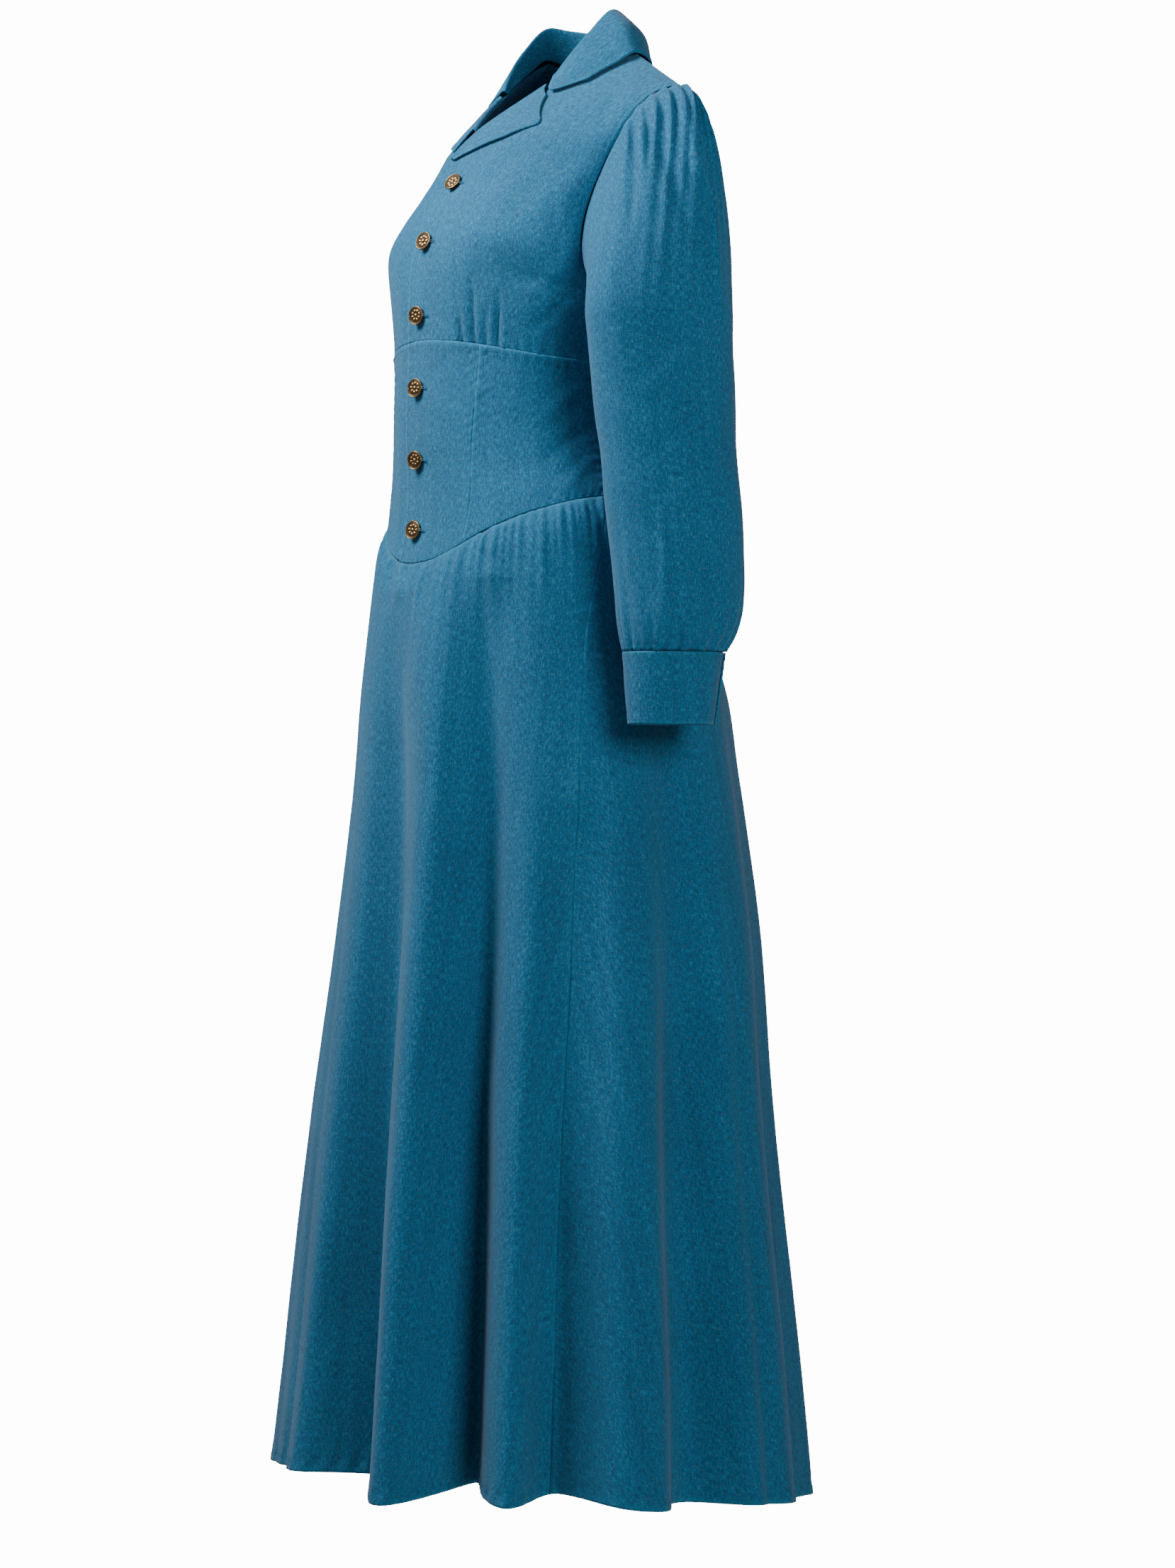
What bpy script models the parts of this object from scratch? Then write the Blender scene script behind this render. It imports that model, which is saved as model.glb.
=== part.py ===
# Long denim dress with a notched collar, gathered sleeves, a fitted midriff and a full skirt.
# It stands filled out with nobody in it. Front is -Y, the wearer's left is +X, Z is up.
# Tables are in millimetres, measured from the plumb line through the waist, and
# the finished dress is moved so that its origin lies midway between the shoulder seams.

import math

import bpy
import numpy as np
from mathutils import Vector

MM = 0.001
SHOULDER_Y = 70.0          # how far the shoulder seams lie behind the waist's plumb line
WALL = 1.2                 # one layer of denim with its turnings
DOUBLE_WALL = 2.0          # cuffs
COLLAR_WALL = 1.6          # collar and lapels
WAIST_GAP = 1.0            # the skirt starts this far below the waist seam line
SEAM = 0.45                # room between two pieces at a seam
LAP = 15.0                 # the left front passes this far over the centre
UNDERLAP_INSET = 2.0       # the right front lies this far behind the left one there
LAP_FADE = 34.0            # and comes back level over this width
BREAK_Z, BREAK_INSET, BREAK_REACH = -82.0, 3.0, 26.0   # deeper still where the lapels start

PANEL_WIDTH = 230.0        # of a chest or back panel along its surface, for the seams' room
ROW_PITCH = 23.0           # between two rows of its table
MIDRIFF_RADIUS, SKIRT_RADIUS = 135.0, 180.0

# Front chest surface, from the underbust seam up to the shoulder seam: inner edge x, y and z,
# outer edge x, y and z, roundness
CHEST_ROWS = (
    (0, -117, -263, 141, 4, -288, 2.0),
    (0, -117, -240, 146, 6, -264, 2.0),
    (0, -116, -218, 152, 10, -242, 2.0),
    (0, -114, -196, 156, 16, -224, 2.0),
    (0, -110, -174, 151, -6, -213, 2.0),
    (0, -103, -153, 146, -20, -188, 2.15),
    (0, -92, -131, 143, -17, -160, 2.15),
    (0, -77, -110, 143, -9, -133, 2.1),
    (-12, -68, -87, 145, 1, -108, 1.75),
    (6, -51, -63, 148, 11, -86, 1.55),
    (24, -31, -45, 151, 21, -67, 1.3),
    (41, -7, -26, 154, 33, -50, 1.2),
    (52, 20, -6, 158, 47, -37, 1.12),
    (62, 47, 13, 164, 60, -30, 1.05),
    (70, 68, 26, 170, 71, -28, 1.0),
)
# Back surface in the same columns
BACK_ROWS = (
    (0, 117, -286, 141, 4, -288, 2.0),
    (0, 121, -260, 146, 6, -264, 2.0),
    (0, 127, -234, 152, 10, -242, 2.0),
    (0, 133, -206, 156, 16, -224, 2.0),
    (0, 139, -178, 152, 54, -211, 2.0),
    (0, 143, -150, 147, 80, -186, 1.9),
    (0, 145, -122, 145, 95, -156, 1.8),
    (0, 144, -94, 147, 102, -126, 1.65),
    (0, 141, -68, 151, 102, -98, 1.5),
    (0, 136, -42, 156, 97, -72, 1.35),
    (0, 128, -16, 162, 88, -50, 1.2),
    (0, 118, 6, 166, 80, -38, 1.1),
    (34, 112, 9, 168, 76, -33, 1.05),
    (60, 94, 17, 169, 74, -30, 1.0),
    (70, 70, 26, 170, 72, -28, 1.0),
)
ARMPIT_ROW = 3             # the armhole starts at this row of both tables
BREAK_ROW = 8              # the lapel starts to roll at this row of the front

# Bust fullness laid over the chest surface
BUST_X, BUST_Z = 80.0, -180.0
BUST_WIDTH, BUST_HEIGHT, BUST_RISE = 44.0, 38.0, 8.0
# Small tucks above the underbust seam
TUCK_X = (62.0, 74.0, 86.0, 98.0)
TUCK_WIDTH, TUCK_DEPTH, TUCK_LENGTH = 3.2, 2.6, 58.0
TUCK_STEP = 3.0            # points lie this far each side of a tuck's line

# Body and skirt sections by height: half width, and how far the front and back lie from the
# centre, which moves back by "centre"
SECTION_NAMES = ("height", "half_width", "front", "back", "centre")
SECTION_ROWS = (
    (-1372, 247, 256, 256, 18),
    (-1225, 236, 241, 241, 20),
    (-1089, 225, 226, 226, 20),
    (-979, 215, 215, 215, 22),
    (-834, 200, 202, 202, 28),
    (-679, 183, 183, 183, 27),
    (-591, 175, 172, 172, 23),
    (-530, 170, 154, 154, 15),
    (-475, 167, 136, 139, 9),
    (-440, 163, 125, 128, 5),
    (-413, 156, 122, 121, 4),
    (-387, 146, 122, 114, 4),
    (-361, 140, 123, 110, 4),
    (-320, 138, 123, 110, 4),
    (-288, 141, 121, 113, 4),
    (-250, 145, 121, 120, 4),
)
# Waist seam height by angle from the front centre
WAIST_NAMES = ("angle", "height")
WAIST_ROWS = (
    (0, -474), (10, -471), (20, -461), (30, -448), (40, -438), (50, -430),
    (60, -424), (75, -417), (90, -414), (120, -417), (150, -424), (180, -428),
)
WAIST_SHIFT = 5.0          # the seam's lowest point lies this many degrees to the wearer's left
# Seams that run down the midriff and the skirt, as angles from the front centre
PRINCESS_NAMES = ("height", "angle")
PRINCESS_ROWS = ((-450, 27.5), (-370, 32.8), (-318, 35.3), (-260, 35.8))
SIDE_NAMES = ("height", "angle")
SIDE_ROWS = ((-1372, 64), (-1200, 64), (-918, 66), (-726, 68), (-525, 75), (-414, 86), (-288, 90))

# Hem height by angle from the front centre, the wearer's left first
HEM_NAMES = ("angle", "height")
HEM_ROWS = (
    (-180, -1369), (-150, -1364), (-120, -1356), (-90, -1347), (-50, -1341), (-25, -1336), (0, -1332),
    (15, -1337), (28, -1343), (41, -1333), (54, -1343), (66, -1336), (82, -1346), (110, -1354),
    (135, -1363), (160, -1368), (180, -1369),
)
# Long folds of the skirt: angle at the waist and at the hem, height where the fold starts,
# spread in degrees and rise at the hem, which is negative for a hollow
FOLD_ROWS = (
    (2, 8, -500, 12, -44),
    (23, 28, -440, 8, 26),
    (41, 41, -490, 8.5, -54),
    (54, 53, -820, 8, 14),
    (66, 64, -700, 8, -32),
    (80, 78, -560, 11, 12),
    (100, 101, -600, 10, -28),
    (124, 122, -560, 13, 12),
    (170, 168, -600, 10, -26),
    (-60, -57, -560, 10, -30),
    (-82, -80, -620, 11, 14),
    (-104, -103, -560, 10, -28),
    (-128, -126, -560, 12, 12),
    (-150, -149, -640, 9, -24),
)
FOLD_GROWTH = 0.8
GATHERS, GATHER_RISE, GATHER_REACH = 44, 2.3, 48.0
PUFF_RISE, PUFF_START, PUFF_REACH = 9.0, 18.0, 90.0    # the gathered cloth stands out below the waist

MIDRIFF_STEPS = 7
MIDRIFF_MIDDLE, SKIRT_MIDDLE = -360.0, -900.0
SKIRT_COLUMNS = 80         # faces across each of the two skirt panels
SKIRT_DROPS = (0.0, 16.0, 42.0, 95.0, 205.0, 390.0, 640.0)     # rows, for a skirt of this length
SKIRT_LENGTH = 920.0
SIDE_ANGLE = 90.0          # of the midriff's side seams

# Sleeve sections below the armhole
SLEEVE_NAMES = ("height", "centre_x", "centre_y", "half_x", "half_y")
SLEEVE_ROWS = (
    (-560, 222, 34, 33, 50),
    (-548, 221, 37, 38, 55),
    (-530, 220, 40, 41, 61),
    (-505, 218, 42, 42, 65),
    (-468, 215, 42, 43, 67.5),
    (-428, 212, 40, 43, 69.5),
    (-378, 208, 37, 43, 69),
    (-336, 205, 34, 43, 71),
    (-283, 202, 32, 44, 73),
    (-250, 201, 31, 44, 75),
)
# How the sleeve leaves the armhole, by angle round it from the shoulder over the front
HEAD_NAMES = ("angle", "out_x", "out_y", "out_z")
HEAD_ROWS = (
    (0, 100, 4, 24), (45, 75, -12, -20), (90, 50, -30, -60), (135, 32, -26, -55), (180, 6, 0, -24),
    (225, 36, 36, -55), (270, 74, 58, -60), (315, 98, 44, -6), (360, 100, 4, 24),
)
HEAD_GATHERS, HEAD_REACH, HEAD_RISE, HEAD_SPREAD = 8, 0.45, 3.2, 88.0
HEAD_FULLNESS = 1.25
CUFF_GATHERS, CUFF_GATHER_REACH, CUFF_GATHER_RISE = 12, 42.0, 2.6
ARMHOLE_CENTRE = (45.0, -120.0)     # y and z
RIGHT_SWING = 24.0         # the right arm hangs this much further back than the left
SLEEVE_COLUMNS = 44
CAP_STEPS = 5
SLEEVE_HEIGHTS = (-310, -375, -440, -490, -524, -545, -560.6)

# Cuff sections
CUFF_NAMES = ("height", "centre_x", "centre_y", "half_x", "half_y")
CUFF_ROWS = ((-628, 223, 31, 28, 43.5), (-596, 222.5, 32, 31, 47.5), (-562, 222, 34, 34, 51))
CUFF_OVERLAP = 26.0        # degrees of the band that lie double, at the back
CUFF_EDGE = 292.0          # angle of the overlap's outer end

# Lapel: rows along the roll line, and where its outer edge lies on the front
LAPEL_NAMES = ("along", "roll_row", "edge_across", "edge_row")
LAPEL_ROWS = (
    (0.0, 8.05, 0.02, 8.0), (0.25, 8.9, 0.13, 8.3), (0.5, 9.8, 0.27, 8.8), (0.75, 10.6, 0.40, 9.5),
    (0.80, 10.75, 0.385, 9.75), (1.0, 11.4, 0.2, 10.95),
)
LAPEL_LIFT = (-0.8, 1.6, 4.0, 4.0, 3.4, 3.0, 2.7)
LAPEL_BEYOND = (2.6, 3.8, 2.2)   # the roll stands this far past the front's edge
RIGHT_LAPEL_START = 3      # the right lapel comes out from under the left front here

# Collar, from the back centre to its front end: x, y and z of the seam, the fold and the
# middle of the fall
COLLAR_ROWS = (
    (0, 115.5, 9, 0, 106, 48, 0, 121, 32),
    (32, 110.5, 12, 28, 101, 50, 37, 116, 33),
    (57, 93, 20, 50, 84, 55, 68, 95, 36),
    (67, 67, 29, 61, 62, 57, 84, 66, 39),
    (61, 46, 16, 61, 38, 34, 80, 42, 18),
    (54, 26, 1, 56, 20, 12, 72, 18, -3),
    (48, 11, -11, 47, 7, -9, 60, -3, -23),
)
# Where the collar's outer edge lies: on the back or the front surface
COLLAR_EDGE = (
    ("back", 0.0, 10.7), ("back", 0.315, 10.8), ("back", 0.31, 12.8), ("front", 0.363, 13.98),
    ("front", 0.373, 13.0), ("front", 0.36, 12.5), ("front", 0.35, 11.85),
)
COLLAR_LIFT = 3.6
FACING_DEPTHS = (2.0, 11.0, 20.0)   # the pale strip inside the back of the neck
FACING_INSET, FACING_WALL = 4.0, 1.0
NECK_START = 11.05         # row of the back's table where its neck edge starts
COLLAR_STEPS = 2           # columns between two rows of its table

BUTTON_HEIGHTS = (-112, -169, -239, -308, -376, -443)
BUTTON_RADIUS, BUTTON_THICKNESS, SHANK_RADIUS, SHANK_LENGTH = 9.0, 3.2, 3.0, 1.2
BUTTON_SIDES = 12
BUTTON_GAP = 0.5           # between a button's shank and the cloth
BUTTON_X = 8.0             # the buttons lie this far to the wearer's left of the centre

DENIM = (0.028, 0.195, 0.345)
DENIM_FACING = (0.30, 0.42, 0.46)
BRASS = (0.36, 0.24, 0.10)

collection = None


def named_rows(names, rows):
    # a table as a dictionary of columns, ready to be read by name
    data = np.array(rows, dtype=float)
    return {name: data[:, index] for index, name in enumerate(names)}


def smooth_read(table, key, name, where):
    # smooth value of one column at a place on the key column
    keys = table[key]
    values = table[name]
    where = float(np.clip(where, keys[0], keys[-1]))
    i = int(np.clip(np.searchsorted(keys, where) - 1, 0, len(keys) - 2))
    slopes = np.gradient(values, keys)
    span = keys[i + 1] - keys[i]
    t = (where - keys[i]) / span
    return ((2 * t**3 - 3 * t**2 + 1) * values[i] + (t**3 - 2 * t**2 + t) * span * slopes[i]
            + (3 * t**2 - 2 * t**3) * values[i + 1] + (t**3 - t**2) * span * slopes[i + 1])


def smooth_rows(data, place):
    # smooth row between the rows of a plain array, by row number
    place = float(np.clip(place, 0, len(data) - 1))
    i = min(int(place), len(data) - 2)
    t = place - i
    before = data[max(i - 1, 0)]
    after = data[min(i + 2, len(data) - 1)]
    a, b = data[i], data[i + 1]
    slope_a = (b - before) / 2 if i > 0 else b - a
    slope_b = (after - a) / 2 if i + 2 < len(data) else b - a
    return ((2 * t**3 - 3 * t**2 + 1) * a + (t**3 - 2 * t**2 + t) * slope_a
            + (3 * t**2 - 2 * t**3) * b + (t**3 - t**2) * slope_b)


CHEST = np.array(CHEST_ROWS, dtype=float)
BACK = np.array(BACK_ROWS, dtype=float)
COLLAR = np.array(COLLAR_ROWS, dtype=float)
SECTIONS = named_rows(SECTION_NAMES, SECTION_ROWS)
WAIST = named_rows(WAIST_NAMES, WAIST_ROWS)
HEM = named_rows(HEM_NAMES, HEM_ROWS)
PRINCESS = named_rows(PRINCESS_NAMES, PRINCESS_ROWS)
SIDE = named_rows(SIDE_NAMES, SIDE_ROWS)
SLEEVE = named_rows(SLEEVE_NAMES, SLEEVE_ROWS)
HEAD = named_rows(HEAD_NAMES, HEAD_ROWS)
CUFF = named_rows(CUFF_NAMES, CUFF_ROWS)
LAPEL = named_rows(LAPEL_NAMES, LAPEL_ROWS)


def bell(x):
    return math.exp(-x * x)


def panel_point(rows, across, row, is_front):
    # a point of the chest or back surface; across is 0 at the inner edge and 1 at side or armhole
    inner_x, inner_y, inner_z, outer_x, outer_y, outer_z, roundness = smooth_rows(rows, row)
    turn = across * math.pi / 2
    reach = abs(math.sin(turn)) ** (2 / roundness)
    x = inner_x + (outer_x - inner_x) * math.copysign(reach, across)
    y = outer_y + (inner_y - outer_y) * max(math.cos(turn), 0.0) ** (2 / roundness)
    z = inner_z + (outer_z - inner_z) * math.sin(turn) ** 2
    if is_front:
        rise = BUST_RISE * bell((abs(x) - BUST_X) / BUST_WIDTH) * bell((z - BUST_Z) / BUST_HEIGHT)
        x += 0.35 * rise * math.copysign(1, x)
        y -= 0.93 * rise
        above = z - inner_z_of_seam(x)
        if above < TUCK_LENGTH:
            fade = (1 - above / TUCK_LENGTH) ** 1.5
            groove = sum(bell((abs(x) - tuck) / TUCK_WIDTH) for tuck in TUCK_X)
            y += TUCK_DEPTH * fade * groove
    return np.array((x, y, z))


def inner_z_of_seam(x):
    # height of the underbust seam on the front, by distance from the centre
    centre_z, side_x, side_z = CHEST_ROWS[0][2], CHEST_ROWS[0][3], CHEST_ROWS[0][5]
    return centre_z + (side_z - centre_z) * min(abs(x) / side_x, 1.0) ** 2


def panel_normal(rows, across, row, is_front):
    step = 0.01
    along = panel_point(rows, across + step, row, is_front) - panel_point(rows, across - step, row, is_front)
    up = panel_point(rows, across, row + step, is_front) - panel_point(rows, across, row - step, is_front)
    normal = np.cross(along, up)
    if not is_front:
        normal = -normal
    return normal / np.linalg.norm(normal)


def lap_across(rows, row, width):
    # how far past the centre the front reaches, as a negative "across"
    if row >= BREAK_ROW:
        return 0.0
    inner_x, _, _, outer_x, _, _, roundness = smooth_rows(rows, row)
    share = max((width + inner_x) / (outer_x - inner_x), 0.0)
    return -math.asin(min(share ** (roundness / 2), 1.0)) / (math.pi / 2)


def section_point(angle, height):
    # a point of the midriff or skirt surface before folds, angle in degrees from the front centre
    half_width = smooth_read(SECTIONS, "height", "half_width", height)
    centre = smooth_read(SECTIONS, "height", "centre", height)
    turn = math.radians(angle)
    depth_name = "front" if math.cos(turn) >= 0 else "back"
    depth = smooth_read(SECTIONS, "height", depth_name, height)
    return np.array((half_width * math.sin(turn), centre - depth * math.cos(turn), height))


def section_normal(angle, height):
    step = 0.5
    along = section_point(angle + step, height) - section_point(angle - step, height)
    normal = np.array((along[1], -along[0], 0.0))
    return normal / np.linalg.norm(normal)


def wrapped(angle):
    return (angle + 180.0) % 360.0 - 180.0


def waist_height(angle):
    shifted = wrapped(angle) - WAIST_SHIFT * max(math.cos(math.radians(angle)), 0.0)
    return smooth_read(WAIST, "angle", "height", abs(wrapped(shifted)))


def hem_height(angle):
    return smooth_read(HEM, "angle", "height", wrapped(angle))


def underbust_height(angle):
    square = math.sin(math.radians(angle)) ** 2
    rows = CHEST_ROWS if math.cos(math.radians(angle)) >= 0 else BACK_ROWS
    return rows[0][2] + (rows[0][5] - rows[0][2]) * square


def skirt_point(angle, drop):
    # a point of the skirt, drop millimetres below the waist seam and folded
    top = waist_height(angle) - WAIST_GAP
    bottom = hem_height(angle)
    length = top - bottom
    height = top - min(drop, length)
    point = section_point(angle, height)
    out = 0.0
    for top_angle, hem_angle, start, spread, rise in FOLD_ROWS:
        grown = (start - height) / (start - bottom)
        if grown <= 0:
            continue
        middle = top_angle + (hem_angle - top_angle) * grown
        out += rise * grown**FOLD_GROWTH * bell(wrapped(angle - middle) / spread)
    down = top - height
    share = min(max(abs(wrapped(angle)) - 12.0, 0.0) / 12.0, 1.0)
    ripple = math.cos(math.radians(GATHERS * angle + 55.0 * math.sin(math.radians(3 * angle))))
    out += GATHER_RISE * share * math.exp(-down / GATHER_REACH) * ripple
    out += PUFF_RISE * (1 - math.exp(-down / PUFF_START)) * math.exp(-down / PUFF_REACH)
    return point + out * section_normal(angle, height)


def armhole_point(angle):
    # angle runs from the shoulder over the front, the underarm and the back
    steps = len(CHEST_ROWS) - 1 - ARMPIT_ROW
    if angle <= 180:
        row = len(CHEST_ROWS) - 1 - steps * angle / 180
        return smooth_rows(CHEST, row)[3:6].copy()
    row = ARMPIT_ROW + steps * (angle - 180) / 180
    return smooth_rows(BACK, row)[3:6].copy()


def sleeve_ring(angle, height, table):
    turn = math.radians(angle)
    centre_x = smooth_read(table, "height", "centre_x", height)
    centre_y = smooth_read(table, "height", "centre_y", height)
    half_x = smooth_read(table, "height", "half_x", height)
    half_y = smooth_read(table, "height", "half_y", height)
    return np.array((centre_x + half_x * math.cos(turn), centre_y - half_y * math.sin(turn), height))


def sleeve_point(angle, place):
    # the cap, place running from 0 at the armhole to 1 at the arm's first section
    turn = math.radians(angle)
    outward = np.array((math.cos(turn), -math.sin(turn), 0.0))
    start = armhole_point(angle)
    inward = np.array((0.0, ARMHOLE_CENTRE[0] - start[1], ARMHOLE_CENTRE[1] - start[2]))
    start += inward / np.linalg.norm(inward) * 3 * SEAM
    start[0] += WALL / 2 + 3 * SEAM
    ring_height = SLEEVE_ROWS[-1][0]
    end = sleeve_ring(angle, ring_height, SLEEVE)
    leave = np.array([smooth_read(HEAD, "angle", name, angle) for name in HEAD_NAMES[1:]])
    arrive = np.array((0.0, 0.0, min(-20.0, 0.75 * (ring_height - start[2]))))
    t = place
    point = ((2 * t**3 - 3 * t**2 + 1) * start + (t**3 - 2 * t**2 + t) * leave * HEAD_FULLNESS
             + (3 * t**2 - 2 * t**3) * end + (t**3 - t**2) * arrive)
    off_top = abs(wrapped(angle))
    share = max(0.0, 1 - (off_top / HEAD_SPREAD) ** 4)
    wave = math.cos(math.radians(off_top * HEAD_GATHERS * 360 / (2 * HEAD_SPREAD)))
    lift = np.array((0.45 * outward[0] + 0.3, 0.45 * outward[1], 0.75))
    size = HEAD_RISE * share * math.exp(-t / HEAD_REACH) * min(1, 0.35 + 3 * t)
    return point + size * wave * lift


def sleeve_low_point(angle, height):
    point = sleeve_ring(angle, height, SLEEVE)
    turn = math.radians(angle)
    outward = np.array((math.cos(turn), -math.sin(turn), 0.0))
    above = height - SLEEVE_ROWS[0][0]
    wave = math.cos(math.radians(CUFF_GATHERS * angle + 40 * math.sin(2 * turn)))
    return point + outward * CUFF_GATHER_RISE * wave * math.exp(-above / CUFF_GATHER_REACH)


def new_material(name, colour, roughness, metallic):
    material = bpy.data.materials.new(name)
    material.use_nodes = True
    shader = material.node_tree.nodes["Principled BSDF"]
    shader.inputs["Base Color"].default_value = (*colour, 1.0)
    shader.inputs["Roughness"].default_value = roughness
    shader.inputs["Metallic"].default_value = metallic
    return material


def add_wall(name, points, faces, wall, material):
    # an open surface given in millimetres from the waist's plumb line, with its wall
    mesh = bpy.data.meshes.new(name)
    mesh.from_pydata([Vector((p[0], p[1] - SHOULDER_Y, p[2])) * MM for p in points], [], faces)
    mesh.shade_smooth()
    mesh.materials.append(material)
    piece = bpy.data.objects.new(name, mesh)
    collection.objects.link(piece)
    solidify = piece.modifiers.new("wall", "SOLIDIFY")
    solidify.thickness = wall * MM
    solidify.offset = 0.0


def add_sheet(name, grid, wall, material, closed=False):
    # a wall of cloth through a grid of points, its rows from the bottom up
    rows, columns = len(grid), len(grid[0])
    faces = []
    for r in range(rows - 1):
        for c in range(columns if closed else columns - 1):
            d = (c + 1) % columns
            faces.append((r * columns + c, r * columns + d, (r + 1) * columns + d, (r + 1) * columns + c))
    add_wall(name, [point for row in grid for point in row], faces, wall, material)


def mirrored(grid):
    return [[np.array((-p[0], p[1], p[2])) for p in reversed(row)] for row in grid]


def inset_under_lap(point):
    # moves the right front back where the left one lies on it
    share = min(max((LAP_FADE + point[0]) / (LAP_FADE - LAP), 0.0), 1.0)
    point = point.copy()
    # deeper where the two fronts cross under the lapels, and down as well as back on the chest
    inset = (UNDERLAP_INSET + BREAK_INSET * bell((point[2] - BREAK_Z) / BREAK_REACH)) * share
    slope = min(max((point[2] + 190.0) / 60.0, 0.0), 1.0)
    point[1] += inset
    point[2] -= 0.8 * inset * slope
    return point


def build_fronts(material):
    tuck_turns = []
    for tuck in TUCK_X:
        for side in (-1.0, 1.0):
            tuck_turns.append(math.asin((tuck + side * TUCK_STEP) / CHEST_ROWS[0][3]) / (math.pi / 2))
    plain = [0.0, 0.1, 0.2, 0.6, 0.72, 0.86, 1.0]
    columns = sorted(plain + tuck_turns)
    rows = [0, 0.8, 1.8, 3, 4, 5, 6, 7, 8, 9, 10, 11, 12, 13, 14]
    side_trim = SEAM / PANEL_WIDTH
    end_trim = SEAM / 2 / ROW_PITCH
    last = len(CHEST_ROWS) - 1
    left = []
    for row in rows:
        start = lap_across(CHEST, row, LAP)
        line = []
        for column in columns:
            across = start + (1 - side_trim - start) * column
            place = min(max(row, end_trim), last - end_trim)
            line.append(panel_point(CHEST, across, place, True))
        left.append(line)
    add_sheet("bodice_front_left", left, WALL, material)
    right = [[inset_under_lap(p) for p in row] for row in mirrored(left)]
    add_sheet("bodice_front_right", right, WALL, material)


def build_back(material):
    # the back is whole up to the neck and forks there to the two shoulders
    shares = [0.0, 0.14, 0.29, 0.44, 0.58, 0.72, 0.86, 1.0]
    rows = [0, 1, 2, 3, 4, 5, 6, 7, 8, 9, 10, 10.95, 12, 13, 14]
    trim = SEAM / 2 / ROW_PITCH
    last = len(BACK_ROWS) - 1
    points = []
    index = {}
    for r, row in enumerate(rows):
        place = min(max(row, trim), last - trim)
        for c, share in enumerate(shares):
            p = panel_point(BACK, share * (1 - SEAM / PANEL_WIDTH), place, False)
            on_centre = abs(p[0]) < 0.01
            for side, sign in (("left", 1.0), ("right", -1.0)):
                if side == "right" and on_centre:
                    index[(side, r, c)] = index[("left", r, c)]
                    continue
                index[(side, r, c)] = len(points)
                points.append(np.array((sign * p[0], p[1], p[2])))
    faces = []
    for r in range(len(rows) - 1):
        for c in range(len(shares) - 1):
            left = (("left", r, c), ("left", r + 1, c), ("left", r + 1, c + 1), ("left", r, c + 1))
            right = (("right", r, c), ("right", r, c + 1), ("right", r + 1, c + 1), ("right", r + 1, c))
            faces.append([index[key] for key in left])
            faces.append([index[key] for key in right])
    add_wall("bodice_back", points, faces, WALL, material)


def midriff_grid(first_angle, last_angle, columns, rows):
    # angles are functions of height, so that the panels' seams may lean
    grid = []
    for r in range(rows + 1):
        line = []
        for c in range(columns + 1):
            share = c / columns
            guess = first_angle(MIDRIFF_MIDDLE) * (1 - share) + last_angle(MIDRIFF_MIDDLE) * share
            for _ in range(3):
                top = underbust_height(guess) - SEAM / 2
                bottom = waist_height(guess) + SEAM / 2
                height = bottom + (top - bottom) * r / rows
                guess = first_angle(height) * (1 - share) + last_angle(height) * share
            line.append(section_point(guess, height))
        grid.append(line)
    return grid


def build_midriff(material):
    gap = math.degrees(SEAM / 2 / MIDRIFF_RADIUS)

    def princess(height):
        return smooth_read(PRINCESS, "height", "angle", height)

    def lap(height):
        return -math.degrees(math.asin(LAP / smooth_read(SECTIONS, "height", "half_width", height)))

    # the waist seam is not the same on both sides, so each side has its own grid
    left = midriff_grid(lap, lambda z: princess(z) - gap, 7, MIDRIFF_STEPS)
    add_sheet("midriff_front_left", left, WALL, material)
    right = midriff_grid(lambda z: gap - princess(z), lambda z: -lap(z), 7, MIDRIFF_STEPS)
    right = [[inset_under_lap(p) for p in row] for row in right]
    add_sheet("midriff_front_right", right, WALL, material)
    panel = midriff_grid(lambda z: princess(z) + gap, lambda z: SIDE_ANGLE - gap, 7, MIDRIFF_STEPS)
    add_sheet("midriff_side_left", panel, WALL, material)
    panel = midriff_grid(lambda z: gap - SIDE_ANGLE, lambda z: -princess(z) - gap, 7, MIDRIFF_STEPS)
    add_sheet("midriff_side_right", panel, WALL, material)
    back = midriff_grid(lambda z: SIDE_ANGLE + gap, lambda z: 360 - SIDE_ANGLE - gap, 14, MIDRIFF_STEPS)
    add_sheet("midriff_back", back, WALL, material)


def build_skirt(material):
    gap = math.degrees(SEAM / 2 / SKIRT_RADIUS)

    def side(height):
        return smooth_read(SIDE, "height", "angle", height)

    def panel(first, last):
        # first and last give the angles of the seams that bound the panel, by height
        grid = []
        drops = list(SKIRT_DROPS) + [None]
        for drop in drops:
            line = []
            for c in range(SKIRT_COLUMNS + 1):
                share = c / SKIRT_COLUMNS
                angle = first(SKIRT_MIDDLE) * (1 - share) + last(SKIRT_MIDDLE) * share
                for _ in range(4):
                    top = waist_height(angle) - WAIST_GAP
                    length = top - hem_height(angle)
                    fall = length if drop is None else drop * length / SKIRT_LENGTH
                    angle = first(top - fall) * (1 - share) + last(top - fall) * share
                line.append(skirt_point(angle, fall))
            grid.append(line)
        grid.reverse()
        return grid

    front = panel(lambda z: -side(z) + gap, lambda z: side(z) - gap)
    add_sheet("skirt_front", front, WALL, material)
    back = panel(lambda z: side(z) + gap, lambda z: 360 - side(z) - gap)
    add_sheet("skirt_back", back, WALL, material)


def sleeve_angles():
    # closer together over the gathered head
    top = [HEAD_SPREAD * k / 14 for k in range(-14, 15)]
    low_count = SLEEVE_COLUMNS - len(top)
    step = (360 - 2 * HEAD_SPREAD) / (low_count + 1)
    low = [HEAD_SPREAD + step * (k + 1) for k in range(low_count)]
    return [angle % 360 for angle in top] + low


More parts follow.
